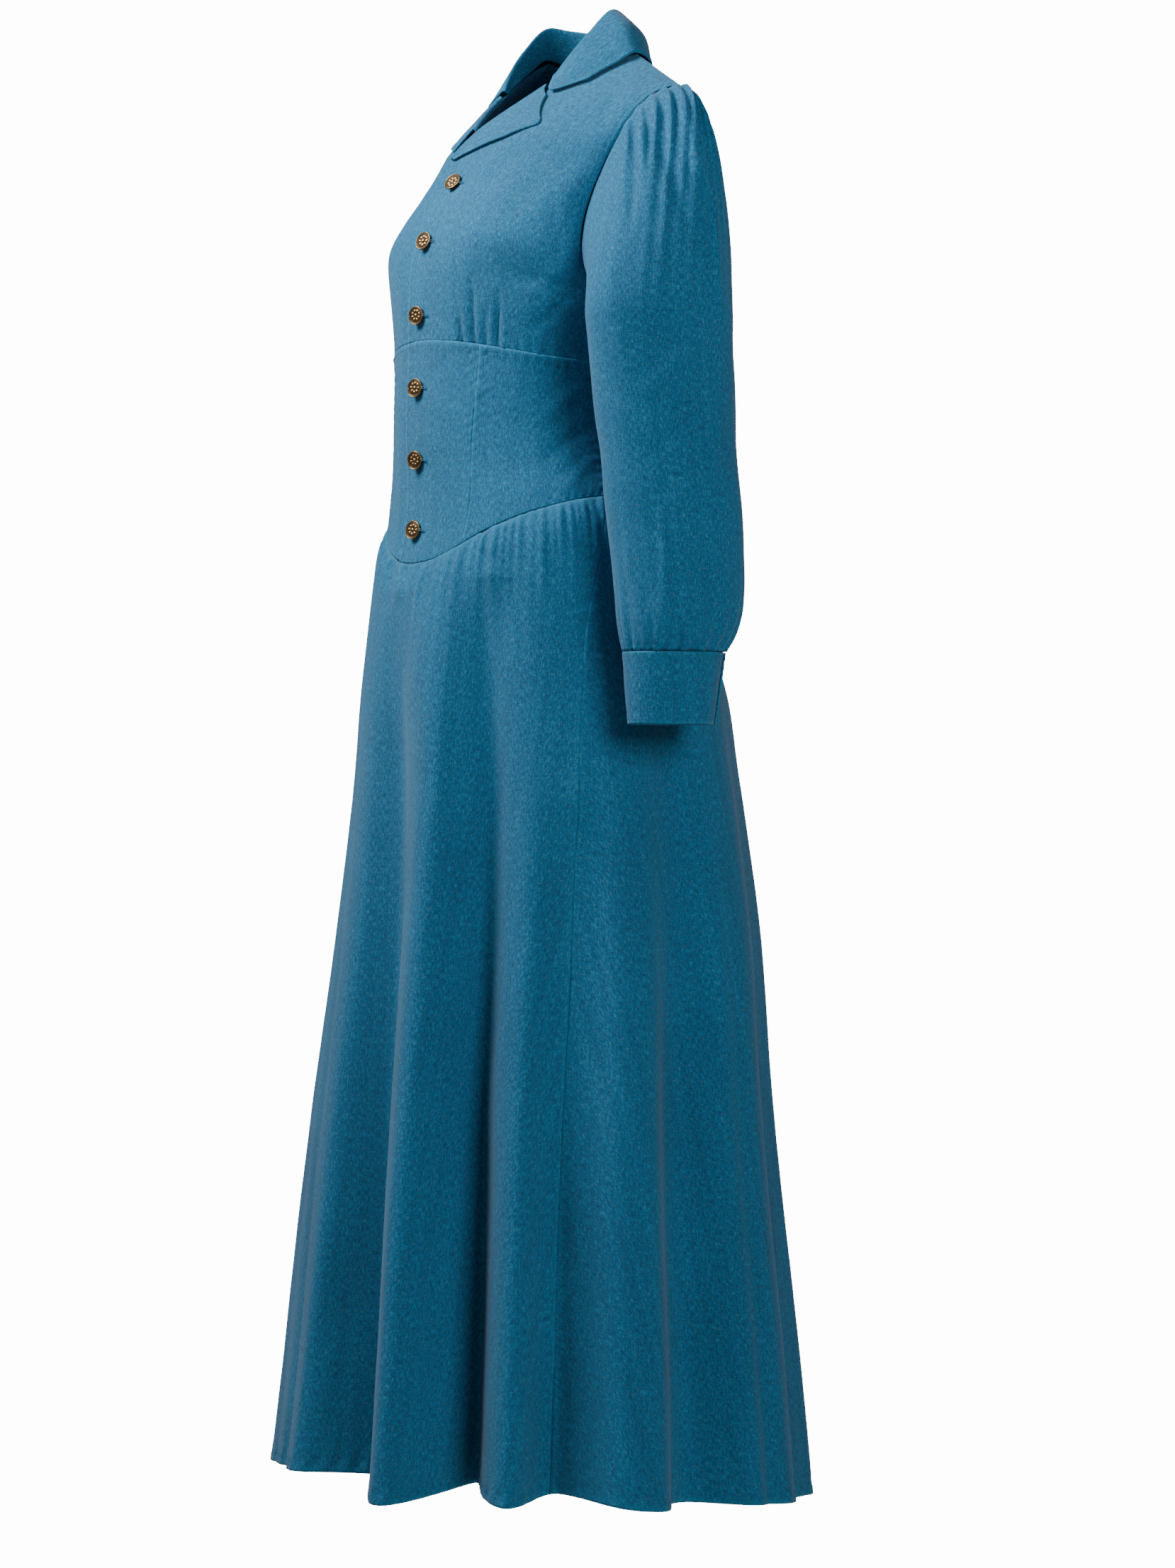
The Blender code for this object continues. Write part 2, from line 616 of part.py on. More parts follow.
def build_sleeves(material):
    angles = sleeve_angles()
    grid = [[sleeve_low_point(angle, height) for angle in angles] for height in reversed(SLEEVE_HEIGHTS)]
    for step in range(CAP_STEPS, -1, -1):
        grid.append([sleeve_point(angle, step / CAP_STEPS) for angle in angles])
    grid = [list(reversed(row)) for row in grid]
    add_sheet("sleeve_left", grid, WALL, material, closed=True)
    back = []
    for level, row in enumerate(mirrored(grid)):
        steps_up = max(level - len(SLEEVE_HEIGHTS), 0)
        share = 1 - steps_up / CAP_STEPS
        swing = RIGHT_SWING * share * share * (3 - 2 * share)
        back.append([point + np.array((0.0, swing, 0.0)) for point in row])
    add_sheet("sleeve_right", back, WALL, material, closed=True)


def build_cuffs(material):
    count = 24
    total = 360 + CUFF_OVERLAP
    grid = []
    for height in (-628, -596, -562.2):
        line = []
        for k in range(count + 1):
            share = k / count
            angle = CUFF_EDGE - total * share
            turn = math.radians(angle)
            outward = np.array((math.cos(turn), -math.sin(turn), 0.0))
            # the last stretch of the band slips in behind its first
            under = min(max((share - 0.80) / 0.12, 0.0), 1.0)
            inset = (DOUBLE_WALL + SEAM) * under * under * (3 - 2 * under)
            line.append(sleeve_ring(angle, height, CUFF) - outward * inset)
        grid.append(line)
    add_sheet("cuff_left", grid, DOUBLE_WALL, material)
    right = [[point + np.array((0.0, RIGHT_SWING, 0.0)) for point in row] for row in mirrored(grid)]
    add_sheet("cuff_right", right, DOUBLE_WALL, material)


def lapel_grid():
    grid = []
    for along in (0.0, 0.12, 0.25, 0.38, 0.5, 0.63, 0.75, 0.88, 1.0):
        roll_row = smooth_read(LAPEL, "along", "roll_row", along)
        edge_across = float(np.interp(along, LAPEL["along"], LAPEL["edge_across"]))
        edge_row = float(np.interp(along, LAPEL["along"], LAPEL["edge_row"]))
        base = panel_point(CHEST, 0.0, roll_row, True)
        inner = panel_point(CHEST, 0.06, roll_row, True) - base
        inner = inner / np.linalg.norm(inner)
        normal = panel_normal(CHEST, 0.05, roll_row, True)
        line = []
        for beyond, lift in zip(LAPEL_BEYOND, LAPEL_LIFT):
            line.append(base - inner * beyond + normal * lift)
        count = len(LAPEL_LIFT) - len(LAPEL_BEYOND)
        for k in range(count):
            share = (k + 0.35) / (count - 0.65)
            across = edge_across * share
            row = roll_row + (edge_row - roll_row) * share
            spot = panel_point(CHEST, across, row, True)
            lift = LAPEL_LIFT[len(LAPEL_BEYOND) + k]
            line.append(spot + panel_normal(CHEST, max(across, 0.02), row, True) * lift)
        grid.append(line)
    return grid


def build_lapels(material):
    left = lapel_grid()
    add_sheet("lapel_left", left, COLLAR_WALL, material)
    right = mirrored(left[RIGHT_LAPEL_START:])
    add_sheet("lapel_right", right, COLLAR_WALL, material)


def build_collar(material):
    grid = []
    count = 6 * COLLAR_STEPS
    for k in range(count + 1):
        place = k / COLLAR_STEPS
        row = smooth_rows(COLLAR, place)
        seam, fold, middle = row[0:3], row[3:6], row[6:9]
        edges = []
        for where, across, panel_row in COLLAR_EDGE:
            rows = CHEST if where == "front" else BACK
            spot = panel_point(rows, across, panel_row, where == "front")
            normal = panel_normal(rows, max(across, 0.02), panel_row, where == "front")
            edges.append(spot + COLLAR_LIFT * normal)
        edge = smooth_rows(np.array(edges), place)
        over = fold + (middle - fold) * 0.22 + np.array((0, 0, 2.2))
        knots = np.array([seam, seam + (fold - seam) * 0.5, fold, over, middle, edge])
        line = [smooth_rows(knots, t) for t in (0, 1.0, 2.0, 2.5, 3.0, 3.6, 4.3, 5.0)]
        grid.append(line)
    other = [[np.array((-p[0], p[1], p[2])) for p in row] for row in reversed(grid)]
    whole = other[:-1] + grid
    add_sheet("collar", [list(reversed(row)) for row in whole], COLLAR_WALL, material)


def nearest_on_back(point):
    # the place on the back surface that lies nearest to a point, by a search that narrows
    across, row, reach_across, reach_row = 0.2, 11.5, 0.2, 2.4
    for _ in range(7):
        tries = [(across + i * reach_across / 4, row + j * reach_row / 4)
                 for i in range(-4, 5) for j in range(-4, 5)]
        tries = [(max(a, 0.0), min(max(r, 0.0), 13.9)) for a, r in tries]
        across, row = min(tries, key=lambda t: np.linalg.norm(panel_point(BACK, t[0], t[1], False) - point))
        reach_across *= 0.4
        reach_row *= 0.4
    return across, row


def build_neck_facing(material):
    # the pale strip inside the back of the neck
    half = []
    for share in (0.0, 0.2, 0.4, 0.6, 0.8, 1.0):
        row = NECK_START + 2.2 * share
        neck = panel_point(BACK, 0.0, row, False)
        tangent = panel_point(BACK, 0.0, row + 0.05, False) - panel_point(BACK, 0.0, row - 0.05, False)
        normal = panel_normal(BACK, 0.04, row, False)
        down = np.cross(tangent / np.linalg.norm(tangent), normal)
        if down[2] > 0:
            down = -down
        line = []
        for depth in FACING_DEPTHS:
            across, low_row = nearest_on_back(neck + down * depth)
            spot = panel_point(BACK, across, low_row, False)
            spot -= panel_normal(BACK, max(across, 0.03), low_row, False) * FACING_INSET
            line.append(spot)
        if share == 0:
            line = [point * np.array((0.0, 1.0, 1.0)) for point in line]
        half.append(line)
    other = [[np.array((-p[0], p[1], p[2])) for p in line] for line in reversed(half[1:])]
    add_sheet("back_neck_facing", other + half, FACING_WALL, material)


def build_buttons(material):
    top = SHANK_LENGTH + BUTTON_THICKNESS
    profile = [
        (0.0, top), (5.2, top - 1.1), (8.2, top - 0.7), (BUTTON_RADIUS, top - 1.5),
        (7.6, SHANK_LENGTH), (SHANK_RADIUS, SHANK_LENGTH), (SHANK_RADIUS, 0.0), (0.0, 0.0),
    ]
    for number, height in enumerate(BUTTON_HEIGHTS, start=1):
        mesh = bpy.data.meshes.new(f"button_{number}")
        edges = [(i, i + 1) for i in range(len(profile) - 1)]
        mesh.from_pydata([(x * MM, 0.0, z * MM) for x, z in profile], edges, [])
        mesh.materials.append(material)
        button = bpy.data.objects.new(f"button_{number}", mesh)
        collection.objects.link(button)
        screw = button.modifiers.new("turned", "SCREW")
        screw.axis = "Z"
        screw.steps = BUTTON_SIDES
        screw.render_steps = BUTTON_SIDES
        screw.use_merge_vertices = True
        screw.merge_threshold = 0.00001
        if height > CHEST_ROWS[0][2]:
            low_rows = CHEST[:BREAK_ROW, 2]
            row = float(np.interp(height, low_rows, np.arange(BREAK_ROW)))
            across = -lap_across(CHEST, row, BUTTON_X)
            seat = panel_point(CHEST, across, row, True)
            facing = panel_normal(CHEST, across, row, True)
        else:
            half_width = smooth_read(SECTIONS, "height", "half_width", height)
            angle = math.degrees(math.asin(BUTTON_X / half_width))
            seat = section_point(angle, height)
            up = section_point(angle, height + 4) - section_point(angle, height - 4)
            along = section_point(angle + 2, height) - section_point(angle - 2, height)
            facing = np.cross(along, up)
        facing = facing / np.linalg.norm(facing)
        seat = seat + facing * (WALL / 2 + BUTTON_GAP)
        button.rotation_euler = Vector(facing).to_track_quat("Z", "Y").to_euler()
        button.location = Vector((seat[0], seat[1] - SHOULDER_Y, seat[2])) * MM


def main():
    global collection
    for item in list(bpy.data.objects):
        bpy.data.objects.remove(item, do_unlink=True)
    collection = bpy.data.collections.new("denim_maxi_dress")
    bpy.context.scene.collection.children.link(collection)
    denim = new_material("denim", DENIM, 0.9, 0.0)
    facing = new_material("facing", DENIM_FACING, 0.95, 0.0)
    brass = new_material("antique_brass", BRASS, 0.38, 1.0)
    build_fronts(denim)
    build_back(denim)
    build_midriff(denim)
    build_skirt(denim)
    build_sleeves(denim)
    build_cuffs(denim)
    build_lapels(denim)
    build_collar(denim)
    build_neck_facing(facing)
    build_buttons(brass)


main()
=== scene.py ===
# Long denim dress, filled out and hollow: collar, buttoned front, gathered sleeves, full skirt.
# Tables are in millimetres from the plumb line through the waist; front is -Y, the wearer's left +X.
import math

import bmesh
import bpy
import numpy as np
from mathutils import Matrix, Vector


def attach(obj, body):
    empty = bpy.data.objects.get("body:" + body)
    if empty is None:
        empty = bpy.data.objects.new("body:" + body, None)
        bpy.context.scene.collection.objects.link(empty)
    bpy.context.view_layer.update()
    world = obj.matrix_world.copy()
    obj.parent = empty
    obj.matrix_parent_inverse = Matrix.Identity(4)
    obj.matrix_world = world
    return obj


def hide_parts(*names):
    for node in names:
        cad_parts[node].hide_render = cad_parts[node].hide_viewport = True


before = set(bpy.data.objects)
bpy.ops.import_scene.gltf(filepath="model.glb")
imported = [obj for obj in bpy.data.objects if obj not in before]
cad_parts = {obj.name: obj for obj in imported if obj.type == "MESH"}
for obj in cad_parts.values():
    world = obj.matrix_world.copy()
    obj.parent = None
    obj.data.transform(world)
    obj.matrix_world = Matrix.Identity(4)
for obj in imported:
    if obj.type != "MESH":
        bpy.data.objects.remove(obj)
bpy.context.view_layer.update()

dress = {"shoulderY": 70.0, "wall": 1.2, "foldedWall": 2.0, "collarWall": 1.6, "seam": 0.45,
         "seamOverlap": 0.8, "waistGap": 1.0, "lap": 15.0,
         "rowPitch": 23.0, "panelWidth": 230.0}

viewing = {"azimuth": 60.0, "distance": 4200.0, "eyeZ": -683.0, "mmPerPixel": 0.683,
           "plumbX": 737.0, "eyeY": 1106.0, "width": 1658.0, "height": 2212.0}
acrossView = np.array((math.cos(math.radians(viewing["azimuth"])),
                       math.sin(math.radians(viewing["azimuth"])), 0.0))
towardView = np.array((acrossView[1], -acrossView[0], 0.0))


def linked(name, data):
    made = bpy.data.objects.new(name, data)
    bpy.context.scene.collection.objects.link(made)
    return made


camera = bpy.data.cameras.new("camera")
camera.sensor_width = 36.0
camera.lens = 36.0 * viewing["distance"] / (viewing["height"] * viewing["mmPerPixel"])
camera.shift_x = (viewing["width"] / 2 - viewing["plumbX"]) / viewing["height"]
camera.clip_end = 60.0
cameraObject = linked("camera", camera)
eye = towardView * viewing["distance"]
cameraObject.location = Vector((eye[0], eye[1] - dress["shoulderY"], viewing["eyeZ"])) * 0.001
cameraObject.rotation_euler = (math.radians(90), 0.0, math.radians(viewing["azimuth"]))
bpy.context.scene.camera = cameraObject


def inPhoto(points):
    # where points fall in the picture, in its pixels, so that creases can be placed in them
    scale = viewing["distance"] / (viewing["distance"] - points @ towardView) / viewing["mmPerPixel"]
    x = viewing["plumbX"] + (points @ acrossView) * scale
    y = viewing["eyeY"] - (points[..., 2] - viewing["eyeZ"]) * scale
    return x, y


def placed(points):
    # from the tables' millimetres to the frame's metres
    return (points - np.array((0.0, dress["shoulderY"], 0.0))) * 0.001


def between(t, a, b, leave, arrive):
    # smooth curve from a to b that leaves and arrives along two directions
    return ((2 * t**3 - 3 * t**2 + 1) * a + (t**3 - 2 * t**2 + t) * leave
            + (3 * t**2 - 2 * t**3) * b + (t**3 - t**2) * arrive)


def readColumn(rows, column, where):
    # smooth value of one column of a table at places on its first column
    data = np.array(rows, dtype=float)
    keys, values = data[:, 0], data[:, column]
    where = np.clip(where, keys[0], keys[-1])
    i = np.clip(np.searchsorted(keys, where) - 1, 0, len(keys) - 2)
    slopes = np.gradient(values, keys)
    span = keys[i + 1] - keys[i]
    t = (where - keys[i]) / span
    return between(t, values[i], values[i + 1], span * slopes[i], span * slopes[i + 1])


def readRows(rows, place):
    # smooth rows between the rows of a table, by row number
    data = np.array(rows, dtype=float)
    place = np.clip(np.asarray(place, dtype=float), 0, len(data) - 1)
    i = np.minimum(place.astype(int), len(data) - 2)
    wide = place.shape + (1,) * (data.ndim - 1)
    t = (place - i).reshape(wide)
    a, b = data[i], data[i + 1]
    before, after = data[np.maximum(i - 1, 0)], data[np.minimum(i + 2, len(data) - 1)]
    slopeA = np.where((i > 0).reshape(wide), (b - before) / 2, b - a)
    slopeB = np.where((i + 2 < len(data)).reshape(wide), (after - a) / 2, b - a)
    return between(t, a, b, slopeA, slopeB)


def bell(x):
    return np.exp(-x * x)


def smooth(low, high, x):
    t = np.clip((x - low) / (high - low), 0.0, 1.0)
    return t * t * (3 - 2 * t)


def unit(v):
    return v / np.maximum(np.linalg.norm(v, axis=-1, keepdims=True), 1e-9)


def valueNoise(points, size, seed):
    # smooth random field from -1 to 1, the same on every run
    q = points / size
    i = np.floor(q).astype(np.int64)
    f = q - i
    f = f * f * (3 - 2 * f)
    total = np.zeros(points.shape[:-1])
    for dx in (0, 1):
        for dy in (0, 1):
            for dz in (0, 1):
                n = ((i[..., 0] + dx) * 73856093 ^ (i[..., 1] + dy) * 19349663 ^ (i[..., 2] + dz)
                     * 83492791)
                n = (n ^ (seed * 2654435)) & 0x7FFFFFFF
                n = ((n ^ (n >> 13)) * 1274126177) & 0x7FFFFFFF
                value = ((n >> 8) & 0xFFFF) / 32768.0 - 1.0
                weight = (np.where(dx, f[..., 0], 1 - f[..., 0])
                          * np.where(dy, f[..., 1], 1 - f[..., 1])
                          * np.where(dz, f[..., 2], 1 - f[..., 2]))
                total += value * weight
    return total


def gridNormals(grid, closed=False):
    # outward normals of a grid whose rows rise and whose columns run to the wearer's left in front
    if closed:
        wide = np.concatenate((grid[:, -1:], grid, grid[:, :1]), axis=1)
        along = (wide[:, 2:] - wide[:, :-2]) / 2
    else:
        along = np.gradient(grid, axis=1)
    up = np.gradient(grid, axis=0)
    return unit(np.cross(along, up))


def arcs(grid, axis):
    # distance run along the rows (axis 1) or columns (axis 0), starting at 0
    step = np.linalg.norm(np.diff(grid, axis=axis), axis=-1)
    pad = [(0, 0), (0, 0)]
    pad[axis] = (1, 0)
    return np.pad(np.cumsum(step, axis=axis), pad)


def spaced(width, pitch, fine=(True, True), reach=11.0, step=1.8):
    # shares from 0 to 1 across a width, closer together near the sewn edges
    low = list(np.arange(0, reach, step)) if fine[0] else [0.0]
    high = list(width - np.arange(0, reach, step)[::-1]) if fine[1] else [width]
    count = max(int((high[0] - low[-1]) / pitch), 2)
    middle = list(np.linspace(low[-1], high[0], count + 1)[1:-1])
    return np.array(low + middle + high) / width


def creases(grid, normals, rows):
    # ridges and hollows along bent lines given in picture pixels:
    # x0, y0, x1, y1, sideways bend, half width in pixels, rise in mm
    x, y = inPhoto(grid)
    facing = smooth(0.0, 0.25, normals @ towardView)
    total = np.zeros(x.shape)
    for x0, y0, x1, y1, bend, width, rise in rows:
        length = math.hypot(x1 - x0, y1 - y0)
        ax, ay = (x1 - x0) / length, (y1 - y0) / length
        t = ((x - x0) * ax + (y - y0) * ay) / length
        side = (x - x0) * -ay + (y - y0) * ax - bend * 4 * t * (1 - t)
        inside = np.clip(t, 0, 1)
        ends = np.clip(4 * inside * (1 - inside), 0, 1) ** 0.6
        total += rise * ends * bell(side / width)
    return total * facing


# front chest surface: inner edge x, y, z, outer edge x, y, z, roundness
chestRows = (
    (0, -117, -263, 141, 4, -288, 2.0),
    (0, -117, -240, 146, 6, -264, 2.0),
    (0, -116, -218, 152, 10, -242, 2.0),
    (0, -114, -196, 156, 16, -224, 2.0),
    (0, -110, -174, 151, -6, -213, 2.0),
    (0, -103, -153, 146, -20, -188, 2.15),
    (0, -92, -131, 143, -17, -160, 2.15),
    (0, -77, -110, 143, -9, -133, 2.1),
    (-12, -68, -87, 145, 1, -108, 1.75),
    (6, -51, -63, 148, 11, -86, 1.55),
    (24, -31, -45, 151, 21, -67, 1.3),
    (41, -7, -26, 154, 33, -50, 1.2),
    (52, 20, -6, 158, 47, -37, 1.12),
    (62, 47, 13, 164, 60, -30, 1.05),
    (70, 68, 26, 170, 71, -28, 1.0),
)
# back surface in the same columns
backRows = (
    (0, 117, -286, 141, 4, -288, 2.0),
    (0, 121, -260, 146, 6, -264, 2.0),
    (0, 127, -234, 152, 10, -242, 2.0),
    (0, 133, -206, 156, 16, -224, 2.0),
    (0, 139, -178, 152, 54, -211, 2.0),
    (0, 143, -150, 147, 80, -186, 1.9),
    (0, 145, -122, 145, 95, -156, 1.8),
    (0, 144, -94, 147, 102, -126, 1.65),
    (0, 141, -68, 151, 102, -98, 1.5),
    (0, 136, -42, 156, 97, -72, 1.35),
    (0, 128, -16, 162, 88, -50, 1.2),
    (0, 118, 6, 166, 80, -38, 1.1),
    (34, 112, 9, 168, 76, -33, 1.05),
    (60, 94, 17, 169, 74, -30, 1.0),
    (70, 70, 26, 170, 72, -28, 1.0),
)
# waist, hips and skirt without folds: height, half width, depth in front and behind, centre
sectionRows = (
    (-1372, 247, 256, 256, 18),
    (-1225, 236, 241, 241, 20),
    (-1089, 225, 226, 226, 20),
    (-979, 215, 215, 215, 22),
    (-834, 200, 202, 202, 28),
    (-679, 183, 183, 183, 27),
    (-591, 175, 172, 172, 23),
    (-530, 170, 154, 154, 15),
    (-475, 167, 136, 139, 9),
    (-440, 163, 125, 128, 5),
    (-413, 156, 122, 121, 4),
    (-387, 146, 122, 114, 4),
    (-361, 140, 123, 110, 4),
    (-320, 138, 123, 110, 4),
    (-288, 141, 121, 113, 4),
    (-250, 145, 121, 120, 4),
)
# angle from the front centre, height of the waist seam
waistRows = (
    (0, -474), (10, -471), (20, -461), (30, -448), (40, -438), (50, -430),
    (60, -424), (75, -417), (90, -414), (120, -417), (150, -424), (180, -428),
)
# seam between front and side panels: height, angle
princessRows = ((-450, 27.5), (-370, 32.8), (-318, 35.3), (-260, 35.8))
# skirt side seam: height, angle
sideRows = ((-1372, 64), (-1200, 64), (-918, 66), (-726, 68), (-525, 75), (-414, 86), (-288, 90))
# hem: angle from the front centre, the wearer's left first, and height
hemRows = (
    (-180, -1369), (-150, -1364), (-120, -1356), (-90, -1347), (-50, -1341), (-25, -1336), (0, -1332),
    (15, -1337), (28, -1343), (41, -1333), (54, -1343), (66, -1336), (82, -1346), (110, -1354),
    (135, -1363), (160, -1368), (180, -1369),
)
# long folds: angle at the waist and hem, start, spread, rise at the hem
foldRows = (
    (2, 8, -500, 12, -44),
    (23, 28, -440, 8, 26),
    (41, 41, -490, 8.5, -54),
    (54, 53, -820, 8, 14),
    (66, 64, -700, 8, -32),
    (80, 78, -560, 11, 12),
    (100, 101, -600, 10, -28),
    (124, 122, -560, 13, 12),
    (170, 168, -600, 10, -26),
    (-60, -57, -560, 10, -30),
    (-82, -80, -620, 11, 14),
    (-104, -103, -560, 10, -28),
    (-128, -126, -560, 12, 12),
    (-150, -149, -640, 9, -24),
)
# sleeve: height, centre x and y, half width x and y
sleeveRows = (
    (-560, 222, 34, 33, 50),
    (-548, 221, 37, 38, 55),
    (-530, 220, 40, 41, 61),
    (-505, 218, 42, 42, 65),
    (-468, 215, 42, 43, 67.5),
    (-428, 212, 40, 43, 69.5),
    (-378, 208, 37, 43, 69),
    (-336, 205, 34, 43, 71),
    (-283, 202, 32, 44, 73),
    (-250, 201, 31, 44, 75),
)
# angle round the armhole, how the sleeve leaves it in x, y and z
headRows = (
    (0, 100, 4, 24), (45, 75, -12, -20), (90, 50, -30, -60), (135, 32, -26, -55), (180, 6, 0, -24),
    (225, 36, 36, -55), (270, 74, 58, -60), (315, 98, 44, -6), (360, 100, 4, 24),
)
# cuff, in the same columns
cuffRows = ((-628, 223, 31, 28, 43.5), (-596, 222.5, 32, 31, 47.5), (-562, 222, 34, 34, 51))
# lapel: share along the roll line, roll row, edge across, edge row
lapelRows = (
    (0.0, 8.05, 0.02, 8.0), (0.25, 8.9, 0.13, 8.3), (0.5, 9.8, 0.27, 8.8), (0.75, 10.6, 0.40, 9.5),
    (0.80, 10.75, 0.385, 9.75), (1.0, 11.4, 0.2, 10.95),
)
# collar from the back to the front: x, y and z of the seam, the fold and the middle of the fall
collarRows = (
    (0, 115.5, 9, 0, 106, 48, 0, 121, 32),
    (32, 110.5, 12, 28, 101, 50, 37, 116, 33),
    (57, 93, 20, 50, 84, 55, 68, 95, 36),
    (67, 67, 29, 61, 62, 57, 84, 66, 39),
    (61, 46, 16, 61, 38, 34, 80, 42, 18),
    (54, 26, 1, 56, 20, 12, 72, 18, -3),
    (48, 11, -11, 47, 7, -9, 60, -3, -23),
)
# collar's outer edge: surface, across, row
collarEdge = (
    ("back", 0.0, 10.7), ("back", 0.315, 10.8), ("back", 0.31, 12.8), ("front", 0.363, 13.98),
    ("front", 0.373, 13.0), ("front", 0.36, 12.5), ("front", 0.35, 11.85),
)
armpitRow, breakRow = 3, 8
waistShift = 5.0
bust = {"x": 80.0, "z": -180.0, "width": 44.0, "height": 38.0, "rise": 8.0}
tucks = {"x": (62.0, 74.0, 86.0, 98.0), "width": 3.2, "depth": 2.6, "length": 58.0}
underLap = {"inset": 2.0, "fade": 34.0, "breakZ": -82.0, "breakInset": 3.0, "breakReach": 26.0}


def bustAndTucks(x, y, z):
    shape = bust
    rise = (shape["rise"] * bell((np.abs(x) - shape["x"]) / shape["width"])
            * bell((z - shape["z"]) / shape["height"]))
    x = x + 0.35 * rise * np.sign(x)
    y = y - 0.93 * rise
    first = chestRows[0]
    seamZ = first[2] + (first[5] - first[2]) * np.minimum(np.abs(x) / first[3], 1.0) ** 2
    fade = np.clip(1 - (z - seamZ) / tucks["length"], 0, 1.2) ** 1.5
    groove = sum(bell((np.abs(x) - tuck) / tucks["width"]) for tuck in tucks["x"])
    return x, y + tucks["depth"] * fade * groove


def panelPoint(rows, across, row, isFront):
    innerX, innerY, innerZ, outerX, outerY, outerZ, roundness = np.moveaxis(readRows(rows, row), -1, 0)
    turn = across * math.pi / 2
    reach = np.abs(np.sin(turn)) ** (2 / roundness)
    x = innerX + (outerX - innerX) * np.sign(across) * reach
    y = outerY + (innerY - outerY) * np.maximum(np.cos(turn), 0.0) ** (2 / roundness)
    z = innerZ + (outerZ - innerZ) * np.sin(turn) ** 2
    if isFront:
        x, y = bustAndTucks(x, y, z)
    return np.stack((x, y, z), axis=-1)


def panelNormal(rows, across, row, isFront):
    step = 0.01
    along = (panelPoint(rows, across + step, row, isFront)
             - panelPoint(rows, across - step, row, isFront))
    up = panelPoint(rows, across, row + step, isFront) - panelPoint(rows, across, row - step, isFront)
    return unit(np.cross(along, up)) * (1 if isFront else -1)


def lapAcross(rows, row, width):
    data = readRows(rows, row)
    share = np.maximum((width + data[..., 0]) / (data[..., 3] - data[..., 0]), 0.0)
    value = -np.arcsin(np.minimum(share ** (data[..., 6] / 2), 1.0)) / (math.pi / 2)
    return np.where(np.asarray(row) >= breakRow, 0.0, value)


def sectionPoint(angle, height):
    turn = np.radians(angle)
    depth = np.where(np.cos(turn) >= 0, readColumn(sectionRows, 2, height),
                     readColumn(sectionRows, 3, height))
    x = readColumn(sectionRows, 1, height) * np.sin(turn)
    y = readColumn(sectionRows, 4, height) - depth * np.cos(turn)
    return np.stack((x, y, height + 0 * x), axis=-1)


def sectionNormal(angle, height):
    along = sectionPoint(angle + 0.5, height) - sectionPoint(angle - 0.5, height)
    return unit(np.stack((along[..., 1], -along[..., 0], 0 * along[..., 0]), axis=-1))


def wrapped(angle):
    return (angle + 180.0) % 360.0 - 180.0


def waistHeight(angle):
    shifted = wrapped(angle) - waistShift * np.maximum(np.cos(np.radians(angle)), 0.0)
    return readColumn(waistRows, 1, np.abs(wrapped(shifted)))


def hemHeight(angle):
    return readColumn(hemRows, 1, wrapped(angle))


def underbustHeight(angle):
    square = np.sin(np.radians(angle)) ** 2
    front = chestRows[0][2] + (chestRows[0][5] - chestRows[0][2]) * square
    back = backRows[0][2] + (backRows[0][5] - backRows[0][2]) * square
    return np.where(np.cos(np.radians(angle)) >= 0, front, back)


def armholePoint(angle):
    steps = len(chestRows) - 1 - armpitRow
    front = readRows(chestRows, len(chestRows) - 1 - steps * angle / 180)[..., 3:6]
    back = readRows(backRows, armpitRow + steps * (angle - 180) / 180)[..., 3:6]
    return np.where((angle <= 180)[..., None], front, back)


def ringOutward(angle):
    turn = np.radians(angle)
    return np.stack((np.cos(turn), -np.sin(turn), 0 * turn), axis=-1)


def ringPoint(rows, angle, height):
    turn = np.radians(angle)
    x = readColumn(rows, 1, height) + readColumn(rows, 3, height) * np.cos(turn)
    y = readColumn(rows, 2, height) - readColumn(rows, 4, height) * np.sin(turn)
    return np.stack((x, y, height + 0 * x), axis=-1)


def mirrored(grid):
    return grid[:, ::-1] * np.array((-1.0, 1.0, 1.0))


def insetUnderLap(grid):
    under = underLap
    share = np.clip((under["fade"] + grid[..., 0]) / (under["fade"] - dress["lap"]), 0.0, 1.0)
    inset = ((under["inset"] + under["breakInset"]
              * bell((grid[..., 2] - under["breakZ"]) / under["breakReach"])) * share)
    slope = np.clip((grid[..., 2] + 190.0) / 60.0, 0.0, 1.0)
    return grid + np.stack((0 * inset, inset, -0.8 * inset * slope), axis=-1)


def gridFaces(rows, columns, closed):
    return np.array([(r * columns + c, r * columns + (c + 1) % columns,
                      (r + 1) * columns + (c + 1) % columns, (r + 1) * columns + c)
                     for r in range(rows - 1) for c in range(columns if closed else columns - 1)])


def threadLines(grid, faces, centre, closed):
    # where each corner of each face lies in the flat cloth, in metres
    run, up = arcs(grid, 1), arcs(grid, 0)
    columns = grid.shape[1]
    across = run - run[:, centre][:, None]
    if closed:
        across = 0 * run + np.linspace(0, run[:, -1].mean(), columns)
    corners = np.stack((across, up), axis=-1).reshape(-1, 2)[faces]
    if closed:  # the last column's far corners carry on past the first column
        ends = across[:, -1] * columns / (columns - 1)
        last = np.arange(len(faces)) % columns == columns - 1
        for corner in (1, 2):
            corners[last, corner, 0] = ends[faces[last, corner] // columns]
    return corners * 0.001


def closeCentre(mesh):
    work = bmesh.new()
    work.from_mesh(mesh)
    middle = [v for v in work.verts if abs(v.co.x) < 0.00005]
    bmesh.ops.remove_doubles(work, verts=middle, dist=0.0002)
    work.to_mesh(mesh)
    work.free()


